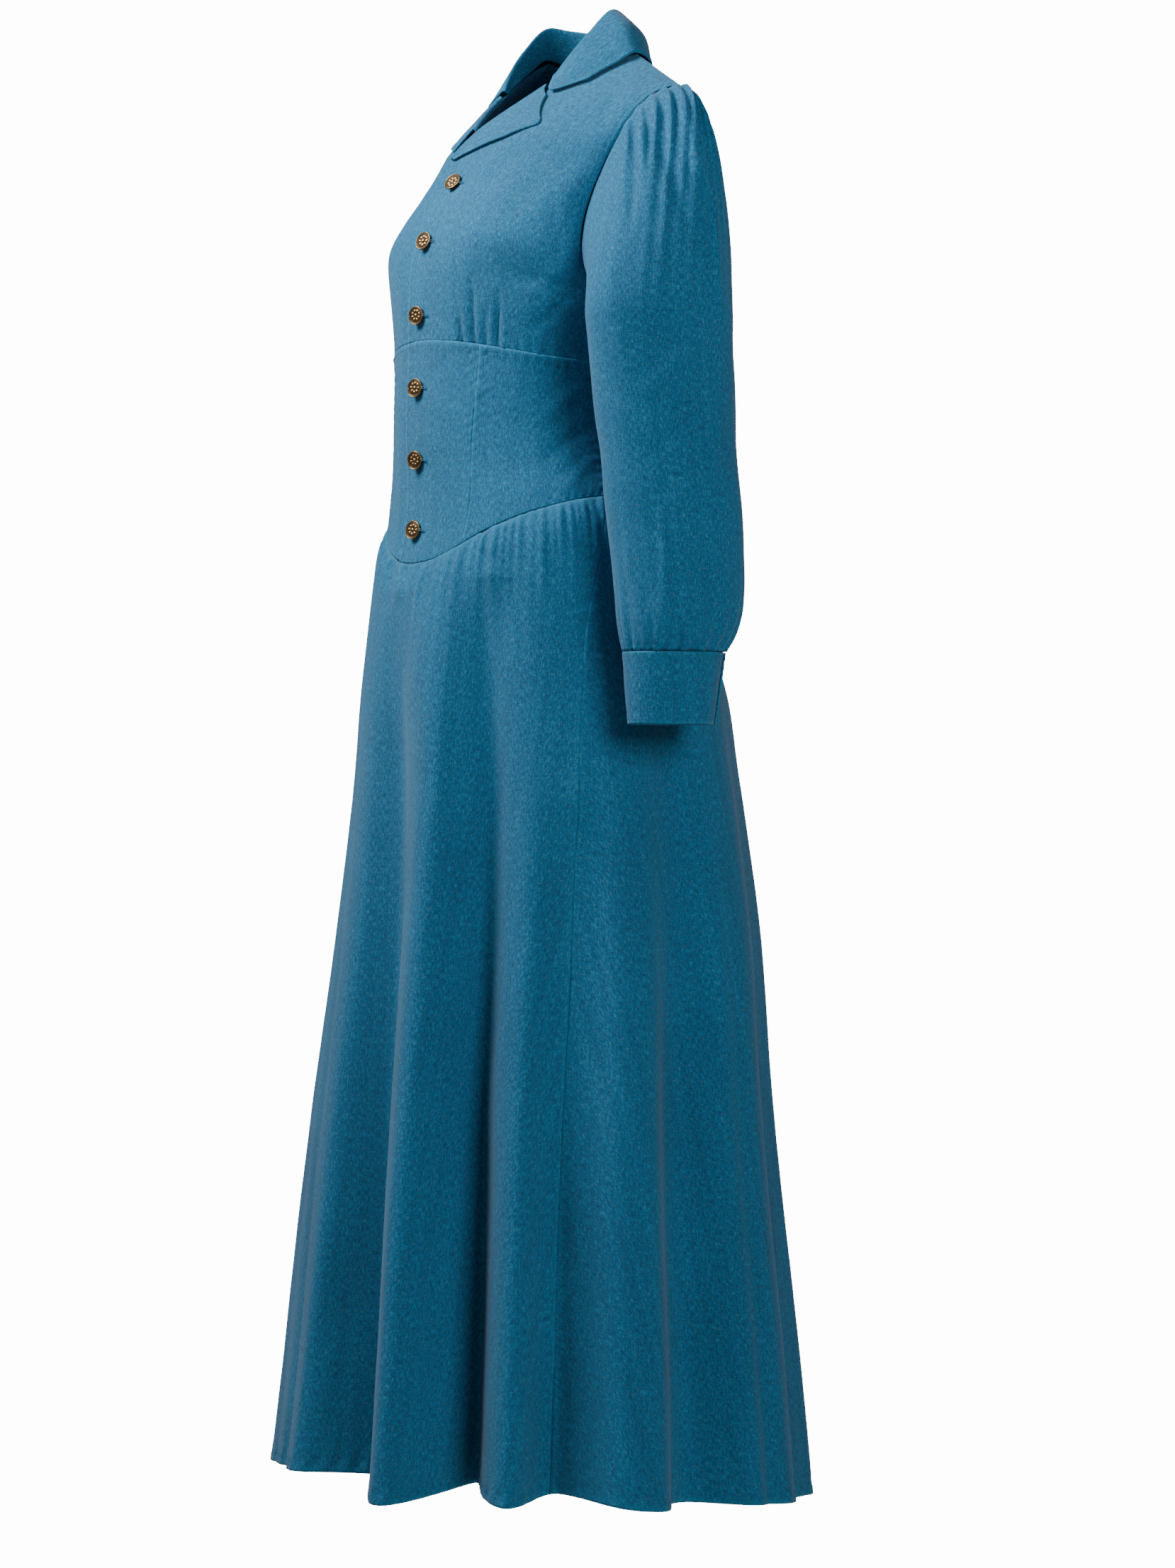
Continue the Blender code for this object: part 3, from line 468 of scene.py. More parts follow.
def addCloth(name, grids, wears, wall, node, closed=False, slot="denim"):
    # one sewn piece: a wall of cloth through a fine grid, or through two that meet at the centre
    points, faces, corners = [], [], []
    for grid in grids:
        own = gridFaces(*grid.shape[:2], closed)
        centre = grid.shape[1] // 2 if len(grids) == 1 else np.argmin(np.abs(grid[0, :, 0]))
        faces.extend((own + sum(map(len, points))).tolist())
        points.append(placed(grid).reshape(-1, 3))
        corners.append(threadLines(grid, own, centre, closed))
    mesh = bpy.data.meshes.new(name)
    mesh.from_pydata(np.concatenate(points).tolist(), [], faces)
    mesh.uv_layers.new(name="cloth").data.foreach_set("uv", np.concatenate(corners).reshape(-1))
    worn = np.concatenate([wear.reshape(-1) for wear in wears]).astype(np.float32)
    mesh.attributes.new("wear", "FLOAT", "POINT").data.foreach_set("value", worn)
    if len(grids) > 1:
        closeCentre(mesh)
    mesh.shade_smooth()
    mesh.materials.append(cloths[slot])
    piece = linked(name, mesh)
    solidify = piece.modifiers.new("wall", "SOLIDIFY")
    solidify.thickness = wall * 0.001
    solidify.offset = 0.0
    applyModifiers(piece)
    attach(piece, "root")
    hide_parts(node)


def applyModifiers(piece):
    graph = bpy.context.evaluated_depsgraph_get()
    made = bpy.data.meshes.new_from_object(piece.evaluated_get(graph), preserve_all_data_layers=True,
            depsgraph=graph)
    piece.modifiers.clear()
    piece.data = made
    made.name = piece.name


def gridShares(grid):
    # distance in mm from the first, last, bottom and top edge
    run, climb = arcs(grid, 1), arcs(grid, 0)
    width, height = run[:, -1:], climb[-1:]
    return run, width - run, climb, height - climb


def seamRelief(distance, along, seed, rise=0.55, pucker=0.35, pitch=9.0, allowance=9.0):
    # a sewn edge stands up over its turnings, pulled in along the stitch line, with small puckers
    swell = (rise * (1 - smooth(allowance - 2.5, allowance + 3.5, distance))
             * smooth(-0.5, 1.6, distance))
    groove = -0.32 * bell((distance - allowance * 0.66) / 1.1)
    beat = 1 + 0.3 * np.sin(along / 41.0 + seed) + 0.2 * np.sin(along / 17.3 + 2.1 * seed)
    ripple = pucker * np.cos(2 * math.pi * (along / pitch + 0.35 * np.sin(along / 37.0 + seed))) * beat
    return swell + groove + ripple * bell((distance - allowance * 0.8) / 6.5)


def settle(grid, seed, amount):
    # the small unevenness of washed cloth, long one way and short the other
    far = valueNoise(grid * np.array((1, 1, 0.55)), 46.0, seed) * 0.75
    near = valueNoise(grid * np.array((1, 1, 0.7)), 17.0, seed + 5) * 0.34
    fine = valueNoise(grid, 7.5, seed + 9) * 0.10
    return (far + near + fine) * amount


def atEdgeDistance(run, distance, fromStart=True):
    # column number on each row at which the run from an edge reaches a distance
    places = []
    for row in run:
        total = row[-1]
        wanted = distance if fromStart else total - distance
        places.append(float(np.interp(wanted, row, np.arange(len(row)))))
    return np.array(places)


def sampleGrid(grid, rowPlaces, columnPlaces):
    r = np.clip(rowPlaces, 0, grid.shape[0] - 1.001)
    c = np.clip(columnPlaces, 0, grid.shape[1] - 1.001)
    i, j = r.astype(int), c.astype(int)
    a, b = (r - i)[:, None], (c - j)[:, None]
    return (grid[i, j] * (1 - a) * (1 - b) + grid[i + 1, j] * a * (1 - b)
            + grid[i, j + 1] * (1 - a) * b + grid[i + 1, j + 1] * a * b)


stitchPaths, buttonholes = [], []


def stitchAlong(grid, wall, rowPlaces, columnPlaces):
    # a stitch line on the outside of a piece, through places on its grid
    normals = gridNormals(grid)
    path = (sampleGrid(grid, rowPlaces, columnPlaces)
            + sampleGrid(normals, rowPlaces, columnPlaces) * (wall / 2 + 0.12))
    stitchPaths.append(path)


def stitchColumns(grid, wall, distance, fromStart=True, rowFrom=0.0, rowTo=1.0):
    # parallel to the first or last column
    places = atEdgeDistance(arcs(grid, 1), distance, fromStart)
    rows = np.linspace(rowFrom * (len(grid) - 1), rowTo * (len(grid) - 1), max(len(grid), 40))
    stitchAlong(grid, wall, rows, np.interp(rows, np.arange(len(grid)), places))


def stitchRows(grid, wall, distance, fromBottom=True, columnFrom=0.0, columnTo=1.0):
    # parallel to the bottom or top row
    places = atEdgeDistance(arcs(grid, 0).T, distance, fromBottom)
    count = grid.shape[1]
    columns = np.linspace(columnFrom * (count - 1), columnTo * (count - 1), count)
    stitchAlong(grid, wall, np.interp(columns, np.arange(count), places), columns)


class Maths:
    # a socket that can be added, multiplied and so on, which makes the Math nodes for it
    def __init__(self, tree, socket):
        self.tree = tree
        self.socket = socket

    def join(self, operation, other, swapped=False):
        node = self.tree.nodes.new("ShaderNodeMath")
        node.operation = operation
        pair = (other, self) if swapped else (self, other)
        for i, value in enumerate(pair):
            if isinstance(value, Maths):
                self.tree.links.new(value.socket, node.inputs[i])
            elif value is not None:
                node.inputs[i].default_value = value
        return Maths(self.tree, node.outputs[0])

    def __add__(self, other):
        return self.join("ADD", other)

    __radd__ = __add__

    def __mul__(self, other):
        return self.join("MULTIPLY", other)

    __rmul__ = __mul__

    def __sub__(self, other):
        return self.join("SUBTRACT", other)

    def __rsub__(self, other):
        return self.join("SUBTRACT", other, True)

    def sine(self):
        return self.join("SINE", None)

    def atLeast(self, other):
        return self.join("MAXIMUM", other)

    def atMost(self, other):
        return self.join("MINIMUM", other)


class Finish:
    # one material and the nodes that feed its shader
    def __init__(self, name, roughness=0.8, metallic=0.0):
        self.material = bpy.data.materials.new(name)
        self.material.use_nodes = True
        self.tree = self.material.node_tree
        self.shader = self.tree.nodes["Principled BSDF"]
        self.shader.inputs["Roughness"].default_value = roughness
        self.shader.inputs["Metallic"].default_value = metallic

    def node(self, kind, settings=None, **values):
        made = self.tree.nodes.new(kind)
        for key, value in (settings or {}).items():
            if key == "stops":
                ramp = made.color_ramp
                while len(ramp.elements) < len(value):
                    ramp.elements.new(0.5)
                for element, (place, colour) in zip(ramp.elements, value):
                    element.position = place
                    element.color = (*colour, 1.0)
            else:
                setattr(made, key, value)
        for key, value in values.items():
            socket = made.inputs[key.replace("_", " ")]
            if isinstance(value, Maths):
                self.tree.links.new(value.socket, socket)
            elif isinstance(value, bpy.types.NodeSocket):
                self.tree.links.new(value, socket)
            else:
                socket.default_value = value
        return made

    def number(self, socket):
        return Maths(self.tree, socket)

    def blend(self, factor, a, b):
        # a mix of two colours, each a socket or three numbers
        made = self.node("ShaderNodeMix", {"data_type": "RGBA", "clamp_factor": True})
        for socket, value in ((made.inputs[0], factor), (made.inputs[6], a), (made.inputs[7], b)):
            if isinstance(value, Maths):
                value = value.socket
            if isinstance(value, bpy.types.NodeSocket):
                self.tree.links.new(value, socket)
            else:
                socket.default_value = (*value, 1.0) if isinstance(value, tuple) else value
        return made.outputs[2]

    def noise(self, vector, scale, detail=2.0, roughness=0.5, stretch=(1, 1, 1)):
        moved = self.node("ShaderNodeMapping", None, Vector=vector, Scale=stretch)
        made = self.node("ShaderNodeTexNoise", {"noise_dimensions": "3D"}, Vector=moved.outputs[0],
                         Scale=scale,
                         Detail=detail, Roughness=roughness)
        return self.number(made.outputs[0])

    def feed(self, name, value):
        socket = value.socket if isinstance(value, Maths) else value
        self.tree.links.new(socket, self.shader.inputs[name])

    def bump(self, height, strength, distance):
        made = self.node("ShaderNodeBump", None, Strength=strength, Distance=distance, Height=height)
        self.feed("Normal", made.outputs[0])


denimLook = {"deep": (0.0040, 0.056, 0.130), "middle": (0.0085, 0.112, 0.228),
             "light": (0.024, 0.228, 0.400),
             "tan": (0.10, 0.18, 0.22), "worn": (0.018, 0.235, 0.400), "twillPitch": 0.00125,
             "fleck": 900.0}


def denimFinish(name, look):
    finish = Finish(name, 0.86)
    place = finish.node("ShaderNodeTexCoord")
    uv, whole = place.outputs["UV"], place.outputs["Object"]
    warp = finish.noise(uv, look["fleck"], 2.0, 0.55, (1.0, 0.20, 1.0))      # long threads up the piece
    weft = finish.noise(uv, look["fleck"], 1.0, 0.5, (0.28, 1.1, 1.0))
    slub = finish.noise(uv, 130.0, 2.0, 0.5, (1.0, 0.05, 1.0))
    patch = finish.noise(whole, 7.0, 3.0, 0.55)
    split = finish.node("ShaderNodeSeparateXYZ", None, Vector=uv)
    u, v = finish.number(split.outputs[0]), finish.number(split.outputs[1])
    turns = 2 * math.pi / look["twillPitch"]
    twill = (u * turns + v * (turns * 1.3)).sine() * 0.5 + 0.5
    wear = finish.number(finish.node("ShaderNodeAttribute", {"attribute_name": "wear"}).outputs["Fac"])
    tone = ((warp - 0.5) * 1.7 + (weft - 0.5) * 0.9 + (slub - 0.5) * 0.35 + (patch - 0.5) * 0.30
            + twill * 0.10 + 0.45)
    colour = finish.node("ShaderNodeValToRGB",
                         {"stops": ((0.0, look["deep"]), (0.5, look["middle"]), (1.0, look["light"]))},
                         Fac=tone).outputs[0]
    speck = finish.noise(uv, 620.0, 1.0, 0.5, (1.0, 0.45, 1.0))
    tan = ((speck - 0.62) * 7.0).atLeast(0.0).atMost(0.38)
    colour = finish.blend(tan, colour, look["tan"])
    colour = finish.blend((wear * (0.25 + warp * 0.6)).atMost(0.6), colour, look["worn"])
    finish.feed("Base Color", colour)
    finish.feed("Roughness", 0.80 + warp * 0.12)
    finish.bump(twill * 0.5 + warp * 0.6 + weft * 0.3, 0.35, 0.0003)
    finish.shader.inputs["Sheen Weight"].default_value = 0.12
    finish.shader.inputs["Sheen Roughness"].default_value = 0.5
    finish.shader.inputs["Specular IOR Level"].default_value = 0.22
    return finish.material


denim = denimFinish("denim", denimLook)
facingLook = dict(denimLook, deep=(0.07, 0.14, 0.18), middle=(0.15, 0.25, 0.29),
                  light=(0.26, 0.37, 0.41), tan=(0.3, 0.34, 0.34))
cloths = {"denim": denim, "facing": denimFinish("neckFacing", facingLook)}


def threadFinish():
    finish = Finish("topstitchThread", 0.6)
    place = finish.node("ShaderNodeTexCoord")
    tone = finish.noise(place.outputs["Object"], 900.0, 1.0)
    finish.feed("Base Color", finish.blend(tone, (0.006, 0.110, 0.225), (0.020, 0.175, 0.310)))
    finish.bump(tone, 0.3, 0.0001)
    return finish.material


def brassFinish():
    finish = Finish("antiqueBrass", 0.35, 1.0)
    place = finish.node("ShaderNodeTexCoord")
    height = finish.number(finish.node("ShaderNodeAttribute",
                                       {"attribute_name": "raised"}).outputs["Fac"])
    mottle = finish.noise(place.outputs["Object"], 700.0, 3.0, 0.6)
    shine = (height * 1.25 + (mottle - 0.5) * 0.7).atLeast(0.0).atMost(1.0)
    colour = finish.node("ShaderNodeValToRGB",
                         {"stops": ((0.0, (0.008, 0.005, 0.003)), (0.5, (0.075, 0.042, 0.015)),
                                                          (1.0, (0.42, 0.27, 0.10)))},
                                                          Fac=shine).outputs[0]
    finish.feed("Base Color", colour)
    finish.feed("Roughness", 0.62 - shine * 0.32)
    finish.feed("Metallic", 0.55 + shine * 0.45)
    finish.bump(mottle, 0.25, 0.0002)
    return finish.material


thread = threadFinish()
brass = brassFinish()
print("materials made")


bodice = {"pitchAcross": 2.3, "pitchUp": 2.6, "length": 300.0, "width": 190.0, "settle": 0.45,
          "shoulderBack": 2.6,
          "frontStitch": 5.0, "armStitch": 5.5,
          "flat": (0.29, 0.40), "area": 0.066, "held": "stretched"}
frontCreases = (
    (860, 135, 690, 300, 18, 16, 1.6), (800, 150, 640, 300, 10, 12, 1.3),
    (835, 210, 700, 330, 12, 14, -1.2),
    (760, 190, 660, 260, 6, 9, 0.8), (820, 330, 740, 420, -10, 12, 1.0),
    (815, 400, 740, 470, -6, 9, -0.9),
    (800, 440, 720, 400, 4, 7, 0.7), (610, 330, 640, 420, -6, 9, 0.8), (600, 420, 650, 470, 4, 7, -0.7),
    (780, 250, 800, 380, 8, 10, -0.8), (870, 130, 850, 190, 4, 7, -0.8),
    (905, 95, 870, 160, -4, 8, 0.8),
)


tuckFolds = (
    (648, 443, 656, 505, 1, 2.8, -2.8), (665, 382, 670, 520, 1, 2.8, -3.6),
    (686, 430, 686, 515, 1, 2.6, -1.8),
    (703, 405, 699, 515, -1, 2.8, -3.2), (677, 410, 680, 515, 1, 5.5, 1.2),
    (712, 430, 708, 515, -1, 5.5, 1.2),
)


def buildFronts():
    acrossShares = spaced(bodice["width"], bodice["pitchAcross"])
    upShares = spaced(bodice["length"], bodice["pitchUp"])
    last = len(chestRows) - 1
    rows = (upShares * last)[:, None] + 0 * acrossShares
    rows = np.clip(rows, dress["seam"] / 2 / dress["rowPitch"],
                   last - dress["seam"] / 2 / dress["rowPitch"])
    start = lapAcross(chestRows, rows, dress["lap"])
    across = start + (1 - dress["seam"] / dress["panelWidth"] - start) * acrossShares
    plain = panelPoint(chestRows, across, rows, True)
    # the shoulder seam closes against the back
    plain[..., 1] += bodice["shoulderBack"] * smooth(last - 0.6, last, rows)
    for side in ("left", "right"):
        grid = plain if side == "left" else insetUnderLap(mirrored(plain))
        seed = 3 if side == "left" else 4
        normals = gridNormals(grid)
        run, left, climb, _ = gridShares(grid)
        if side == "right":
            run, left = left, run
        belowBreak = 1 - smooth(breakRow - 0.6, breakRow + 0.3, rows)
        if side == "right":
            belowBreak = belowBreak[:, ::-1]
        lift = settle(grid, seed, bodice["settle"])
        lift += seamRelief(run, climb, seed, 0.5, 0.35, 12.0, 7.5) * belowBreak
        lift += seamRelief(left, climb, seed + 1, 0.35, 0.42, 8.5, 8.0)
        lift += (0.55 * np.cos(2 * math.pi * grid[..., 0] / 7.3) * bell(climb / 11.0)
                 * smooth(28, 45, run))
        if side == "left":
            lift += creases(grid, normals, frontCreases)
            lift += creases(grid, normals, tuckFolds)
        else:
            other = grid * np.array((-1, 1, 1))
            lift += creases(other, normals * np.array((-1, 1, 1)),
                            [(*r[:6], 0.7 * r[6]) for r in frontCreases[1:8]])
        wear = (bell((run - 1.0) / 2.2) * 0.55 * belowBreak + bell((left - 1.0) / 2.5) * 0.35
                + bell(climb / 2.0) * 0.3)
        shaped = grid + normals * lift[..., None]
        addCloth(f"bodiceFront{side.title()}", [shaped], [wear], dress["wall"], f"bodice_front_{side}")
        if side == "left":
            stitchColumns(shaped, dress["wall"], bodice["frontStitch"], True, 0.0, 0.56)
        stitchColumns(shaped, dress["wall"], bodice["armStitch"], side == "right", 0.22, 0.98)
    print("bodice fronts made")


backPiece = {"pitchUp": 3.2, "length": 300.0, "settle": 0.9, "flat": (0.42, 0.36), "area": 0.118,
             "held": "stretched"}


neckRow = 11.0
backDrags = ((70.0, 0.25, -120.0, 16.0, 1.3, -260.0, -70.0),
             (115.0, 0.1, -160.0, 13.0, -1.2, -250.0, -90.0),
             # x, lean, at height, half width, rise, from, to
             (38.0, 0.15, -200.0, 12.0, 0.9, -290.0, -130.0))


def buildBack():
    shares = spaced(160.0, 2.9, (False, True))
    upShares = spaced(backPiece["length"], backPiece["pitchUp"])
    last = len(backRows) - 1
    rows = np.clip((upShares * last)[:, None] + 0 * shares, dress["seam"] / 2 / dress["rowPitch"],
                   last - dress["seam"] / 2 / dress["rowPitch"])
    across = shares * (1 - dress["seam"] / dress["panelWidth"]) + 0 * rows
    half = panelPoint(backRows, across, rows, False)
    whole = rows[:, 0] <= neckRow
    half[whole, :, 0] = np.maximum(half[whole, :, 0], 0.0)
    half[whole, 0, 0] = 0.0
    half[~whole, :, 0] = np.maximum(half[~whole, :, 0], 0.3)
    grids, wears = [], []
    for sign, seed in ((1.0, 11), (-1.0, 12)):
        grid = half[:, ::-1] if sign > 0 else half * np.array((-1.0, 1.0, 1.0))
        normals = gridNormals(grid)
        run, left, climb, _ = gridShares(grid)
        outer = run if sign > 0 else left
        centre = left if sign > 0 else run
        lift = settle(grid, 11, backPiece["settle"]) * smooth(0, 14, centre)
        lift += seamRelief(outer, climb, seed, 0.35, 0.42, 8.5, 8.0)
        lift += (0.4 * np.cos(2 * math.pi * grid[..., 0] / 9.0) * bell(climb / 12.0)
                 * smooth(2, 12, centre))
        for x, lean, height, spread, rise, low, high in backDrags:
            away = np.abs(grid[..., 0]) - x - lean * (grid[..., 2] - height)
            lift += (rise * bell(away / spread) * smooth(low, low + 40, grid[..., 2])
                     * (1 - smooth(high - 40, high, grid[..., 2])))
        grids.append(grid + normals * lift[..., None])
        wears.append(bell((outer - 1.0) / 2.5) * 0.35 + bell(climb / 2.0) * 0.3)
    addCloth("bodiceBack", grids, wears, dress["wall"], "bodice_back")
    stitchColumns(grids[0], dress["wall"], bodice["armStitch"], True, 0.22, 0.98)
    stitchColumns(grids[1], dress["wall"], bodice["armStitch"], False, 0.22, 0.98)
    print("bodice back made")


midriff = {"height": 165.0, "radius": 135.0, "seamStitch": 5.0, "waistStitch": 3.5, "pitchUp": 2.8,
           "pitchAcross": 2.6, "middle": -360.0, "settle": 0.38,
           "front": {"flat": (0.13, 0.24), "area": 0.0195, "held": "stretched"},
           "side": {"flat": (0.17, 0.21), "area": 0.0205, "held": "stretched"},
           "back": {"flat": (0.44, 0.17), "area": 0.0565, "held": "stretched"}}
midriffCreases = (
    (700, 545, 660, 560, 3, 6, 0.8), (640, 500, 600, 545, 4, 8, -0.7), (600, 440, 650, 545, 8, 9, 0.8),
    (600, 550, 665, 620, -6, 9, 0.8), (600, 650, 650, 720, 6, 8, -0.7),
    (840, 540, 760, 600, 8, 12, 1.0),
    (845, 600, 760, 660, 6, 10, -0.8), (690, 600, 760, 700, -8, 11, 0.7),
    (850, 640, 790, 700, 4, 9, 0.8),
    (590, 600, 620, 640, 3, 6, 0.6),
)


def midriffGrid(firstAngle, lastAngle, width):
    shares = spaced(width, midriff["pitchAcross"])
    heights = spaced(midriff["height"], midriff["pitchUp"])
    share = shares[None, :] + 0 * heights[:, None]
    middle = np.full(share.shape, midriff["middle"])
    guess = firstAngle(middle) * (1 - share) + lastAngle(middle) * share
    for _ in range(4):
        top = underbustHeight(guess) + dress["seamOverlap"] / 2
        bottom = waistHeight(guess) - dress["seamOverlap"] / 2
        height = bottom + (top - bottom) * heights[:, None]
        guess = firstAngle(height) * (1 - share) + lastAngle(height) * share
    return sectionPoint(guess, height)


def buildMidriff():
    gap = -math.degrees(dress["seamOverlap"] / 2 / midriff["radius"])

    def princess(height):
        return readColumn(princessRows, 1, height)

    def lap(height):
        return -np.degrees(np.arcsin(dress["lap"] / readColumn(sectionRows, 1, height)))

    plans = (
        ("midriffFront_left", "midriff_front_left", lap, lambda z: princess(z) - gap, 95.0, "front"),
        ("midriffFront_right", "midriff_front_right", lambda z: gap - princess(z), lambda z: -lap(z),
         95.0, "front"),
        ("midriffSide_left", "midriff_side_left", lambda z: princess(z) + gap,
         lambda z: 90.0 - gap + 0 * z, 135.0, "side"),
        ("midriffSide_right", "midriff_side_right", lambda z: gap - 90.0 + 0 * z,
         lambda z: -princess(z) - gap, 135.0, "side"),
        ("midriffBack", "midriff_back", lambda z: 90.0 + gap + 0 * z, lambda z: 270.0 - gap + 0 * z,
         400.0, "back"),
    )
    for number, (name, node, first, last, width, kind) in enumerate(plans):
        grid = midriffGrid(first, last, width)
        if name == "midriffFront_right":
            grid = insetUnderLap(grid)
        normals = gridNormals(grid)
        run, left, climb, top = gridShares(grid)
        lift = settle(grid, 21 + number, midriff["settle"])
        lift += seamRelief(top, run, number, 0.5, 0.3, 9.0, 7.5)
        lift += 0.5 * np.cos(2 * math.pi * (run + 3 * np.sin(run / 23.0)) / 8.7) * bell(climb / 8.0)
        lift += seamRelief(run, climb, number + 2, 0.40, 0.30, 10.0, 7.0)
        lift += seamRelief(left, climb, number + 4, 0.25, 0.30, 10.0, 5.0)
        lift += creases(grid, normals, midriffCreases)
        wear = (bell((run - 1) / 2.2) * 0.4 + bell((left - 1) / 2.2) * 0.3
                + bell((top - 1) / 2.4) * 0.45 + bell((climb - 1) / 2.4) * 0.4)
        shaped = grid + normals * lift[..., None]
        addCloth(name, [shaped], [wear], dress["wall"], node)
        stitchRows(shaped, dress["wall"], midriff["seamStitch"], False)
        stitchRows(shaped, dress["wall"], midriff["waistStitch"], True)
        if name == "midriffFront_left":
            stitchColumns(shaped, dress["wall"], midriff["seamStitch"])
        if kind == "side":
            stitchColumns(shaped, dress["wall"], midriff["seamStitch"], "left" in name, 0.02, 0.97)
        if kind == "back":
            stitchColumns(shaped, dress["wall"], midriff["seamStitch"], True, 0.02, 0.97)
            stitchColumns(shaped, dress["wall"], midriff["seamStitch"], False, 0.02, 0.97)
    print("midriff made")


skirt = {"length": 920.0, "halfWidth": 180.0, "panelWidth": 520.0, "sideGap": 0.5, "hemStitch": 8.2,
         "columns": 290, "backColumns": 230, "middle": -900.0, "gatherRise": 2.2, "puffRise": 9.0,
         "puffStart": 18.0, "puffReach": 90.0, "foldGrowth": 0.8, "settle": 0.8, "ridge": 1.12,
         "hollow": 1.62, "softDepth": 1.25,
         "front": {"flat": (0.66, 0.95), "area": 0.50, "held": "gathered"},
         "back": {"flat": (1.12, 0.97), "area": 0.86, "held": "gathered"}}


# gathers below the waist: angle, half width, length and rise, uneven as sewn
def placeGathers(first=13.0, last=347.0, seed=7):
    random = np.random.default_rng(seed)
    places, angle = [], first
    while angle < last:
        places.append((angle, random.uniform(0.9, 1.6), random.uniform(22, 62),
                       random.uniform(0.7, 2.1)))
        angle += random.uniform(2.6, 5.2)
    return places


gatherPlaces = placeGathers()
softFolds = (
    # angle at waist and hem, start, spread, rise: lesser folds between the main ones
    (12, 17, -560, 4.2, 7), (31, 33, -520, 3.6, -8), (36, 36.5, -620, 2.8, 6), (47, 46.5, -560, 3.2, 7),
    (60, 59, -700, 3.4, -6), (74, 72, -600, 3.6, -7), (88, 87, -640, 4.0, 6), (95, 94.5, -820, 3.0, -5),
    (111, 112, -640, 4.5, 7), (117, 118, -760, 3.2, -6), (135, 134, -600, 4.0, -7),
    (146, 146, -560, 4.2, 9),
    (156, 157, -700, 3.8, -7), (182, 181, -560, 4.5, 8), (192, 193, -700, 3.6, -6),
    (203, 202, -580, 4.5, 8),
    (221, 222, -640, 3.8, -7), (243, 241, -600, 4.4, 8), (266, 267, -660, 3.6, -6),
    (288, 287, -580, 4.2, 8),
    (312, 313, -620, 4.0, -7), (326, 325, -560, 4.4, 8), (339, 340, -660, 3.8, -7),
    (351, 352, -600, 3.6, 6),
)
skirtCreases = (
    (556, 790, 548, 860, 2, 4.5, -2.2), (566, 792, 560, 850, -2, 4.0, 1.8),
    (575, 796, 572, 835, 2, 4.0, -1.6),
    (684, 745, 690, 800, 3, 5.0, -2.0), (697, 740, 693, 785, -2, 4.5, 1.6),
    (845, 705, 848, 790, 5, 7, 1.2),
    (700, 760, 712, 960, 10, 9, 1.6), (727, 745, 745, 930, 8, 8, -1.4), (760, 735, 790, 900, 9, 9, 1.3),
    (880, 730, 905, 900, 7, 10, 1.2), (930, 940, 950, 1180, 6, 12, -1.5),
    (600, 830, 580, 1000, -6, 10, 1.3),
    (900, 1500, 925, 1720, 6, 12, 1.2), (460, 1700, 440, 1900, -5, 12, 1.2),
    (705, 1450, 700, 1640, 5, 10, 1.1),
)


def skirtPoint(angle, fall, rich=True):
    top = waistHeight(angle) - dress["waistGap"]
    bottom = hemHeight(angle)
    height = top - np.minimum(fall, top - bottom)
    point = sectionPoint(angle, height)
    out = 0 * angle
    for folds in (foldRows, softFolds if rich else ()):
        for topAngle, hemAngle, start, spread, rise in folds:
            grown = np.maximum((start - height) / (start - bottom), 0.0)
            middle = topAngle + (hemAngle - topAngle) * grown
            deeper = skirt["ridge"] if rise > 0 else skirt["hollow"]
            if folds is softFolds:
                deeper = skirt["softDepth"]
            out = (out + deeper * rise * grown ** skirt["foldGrowth"]
                   * bell(wrapped(angle - middle) / spread))
    down = top - height
    gather = 0 * angle
    for place, spread, reach, rise in gatherPlaces:
        away = wrapped(angle - place)
        gather = gather + rise * bell(away / spread) * np.exp(-((down / reach) ** 1.4))
    out = out + skirt["gatherRise"] * (gather - 0.8 * np.exp(-down / 30.0)) * smooth(-1.0, 7.0, down)
    out = (out + skirt["puffRise"] * (1 - np.exp(-down / skirt["puffStart"]))
           * np.exp(-down / skirt["puffReach"]))
    return point + out[..., None] * sectionNormal(angle, height)


def skirtPanel(first, last, columns):
    falls = np.concatenate((np.linspace(0, 9, 6), np.linspace(12, 118, 40), np.linspace(125, 900, 96),
                            np.array((906, 911, 914.5, 917.5, 920))))
    width = skirt["panelWidth"]
    shares = spaced(width, width / (columns - 12), (True, True), 9.0, 2.2)
    share = shares[None, :] + 0 * falls[:, None]
    middle = np.full(share.shape, skirt["middle"])
    angle = first(middle) * (1 - share) + last(middle) * share
    for _ in range(5):
        top = waistHeight(angle) - dress["waistGap"]
        length = top - hemHeight(angle)
        fall = falls[:, None] * length / skirt["length"]
        angle = first(top - fall) * (1 - share) + last(top - fall) * share
    return skirtPoint(angle, fall)[::-1]


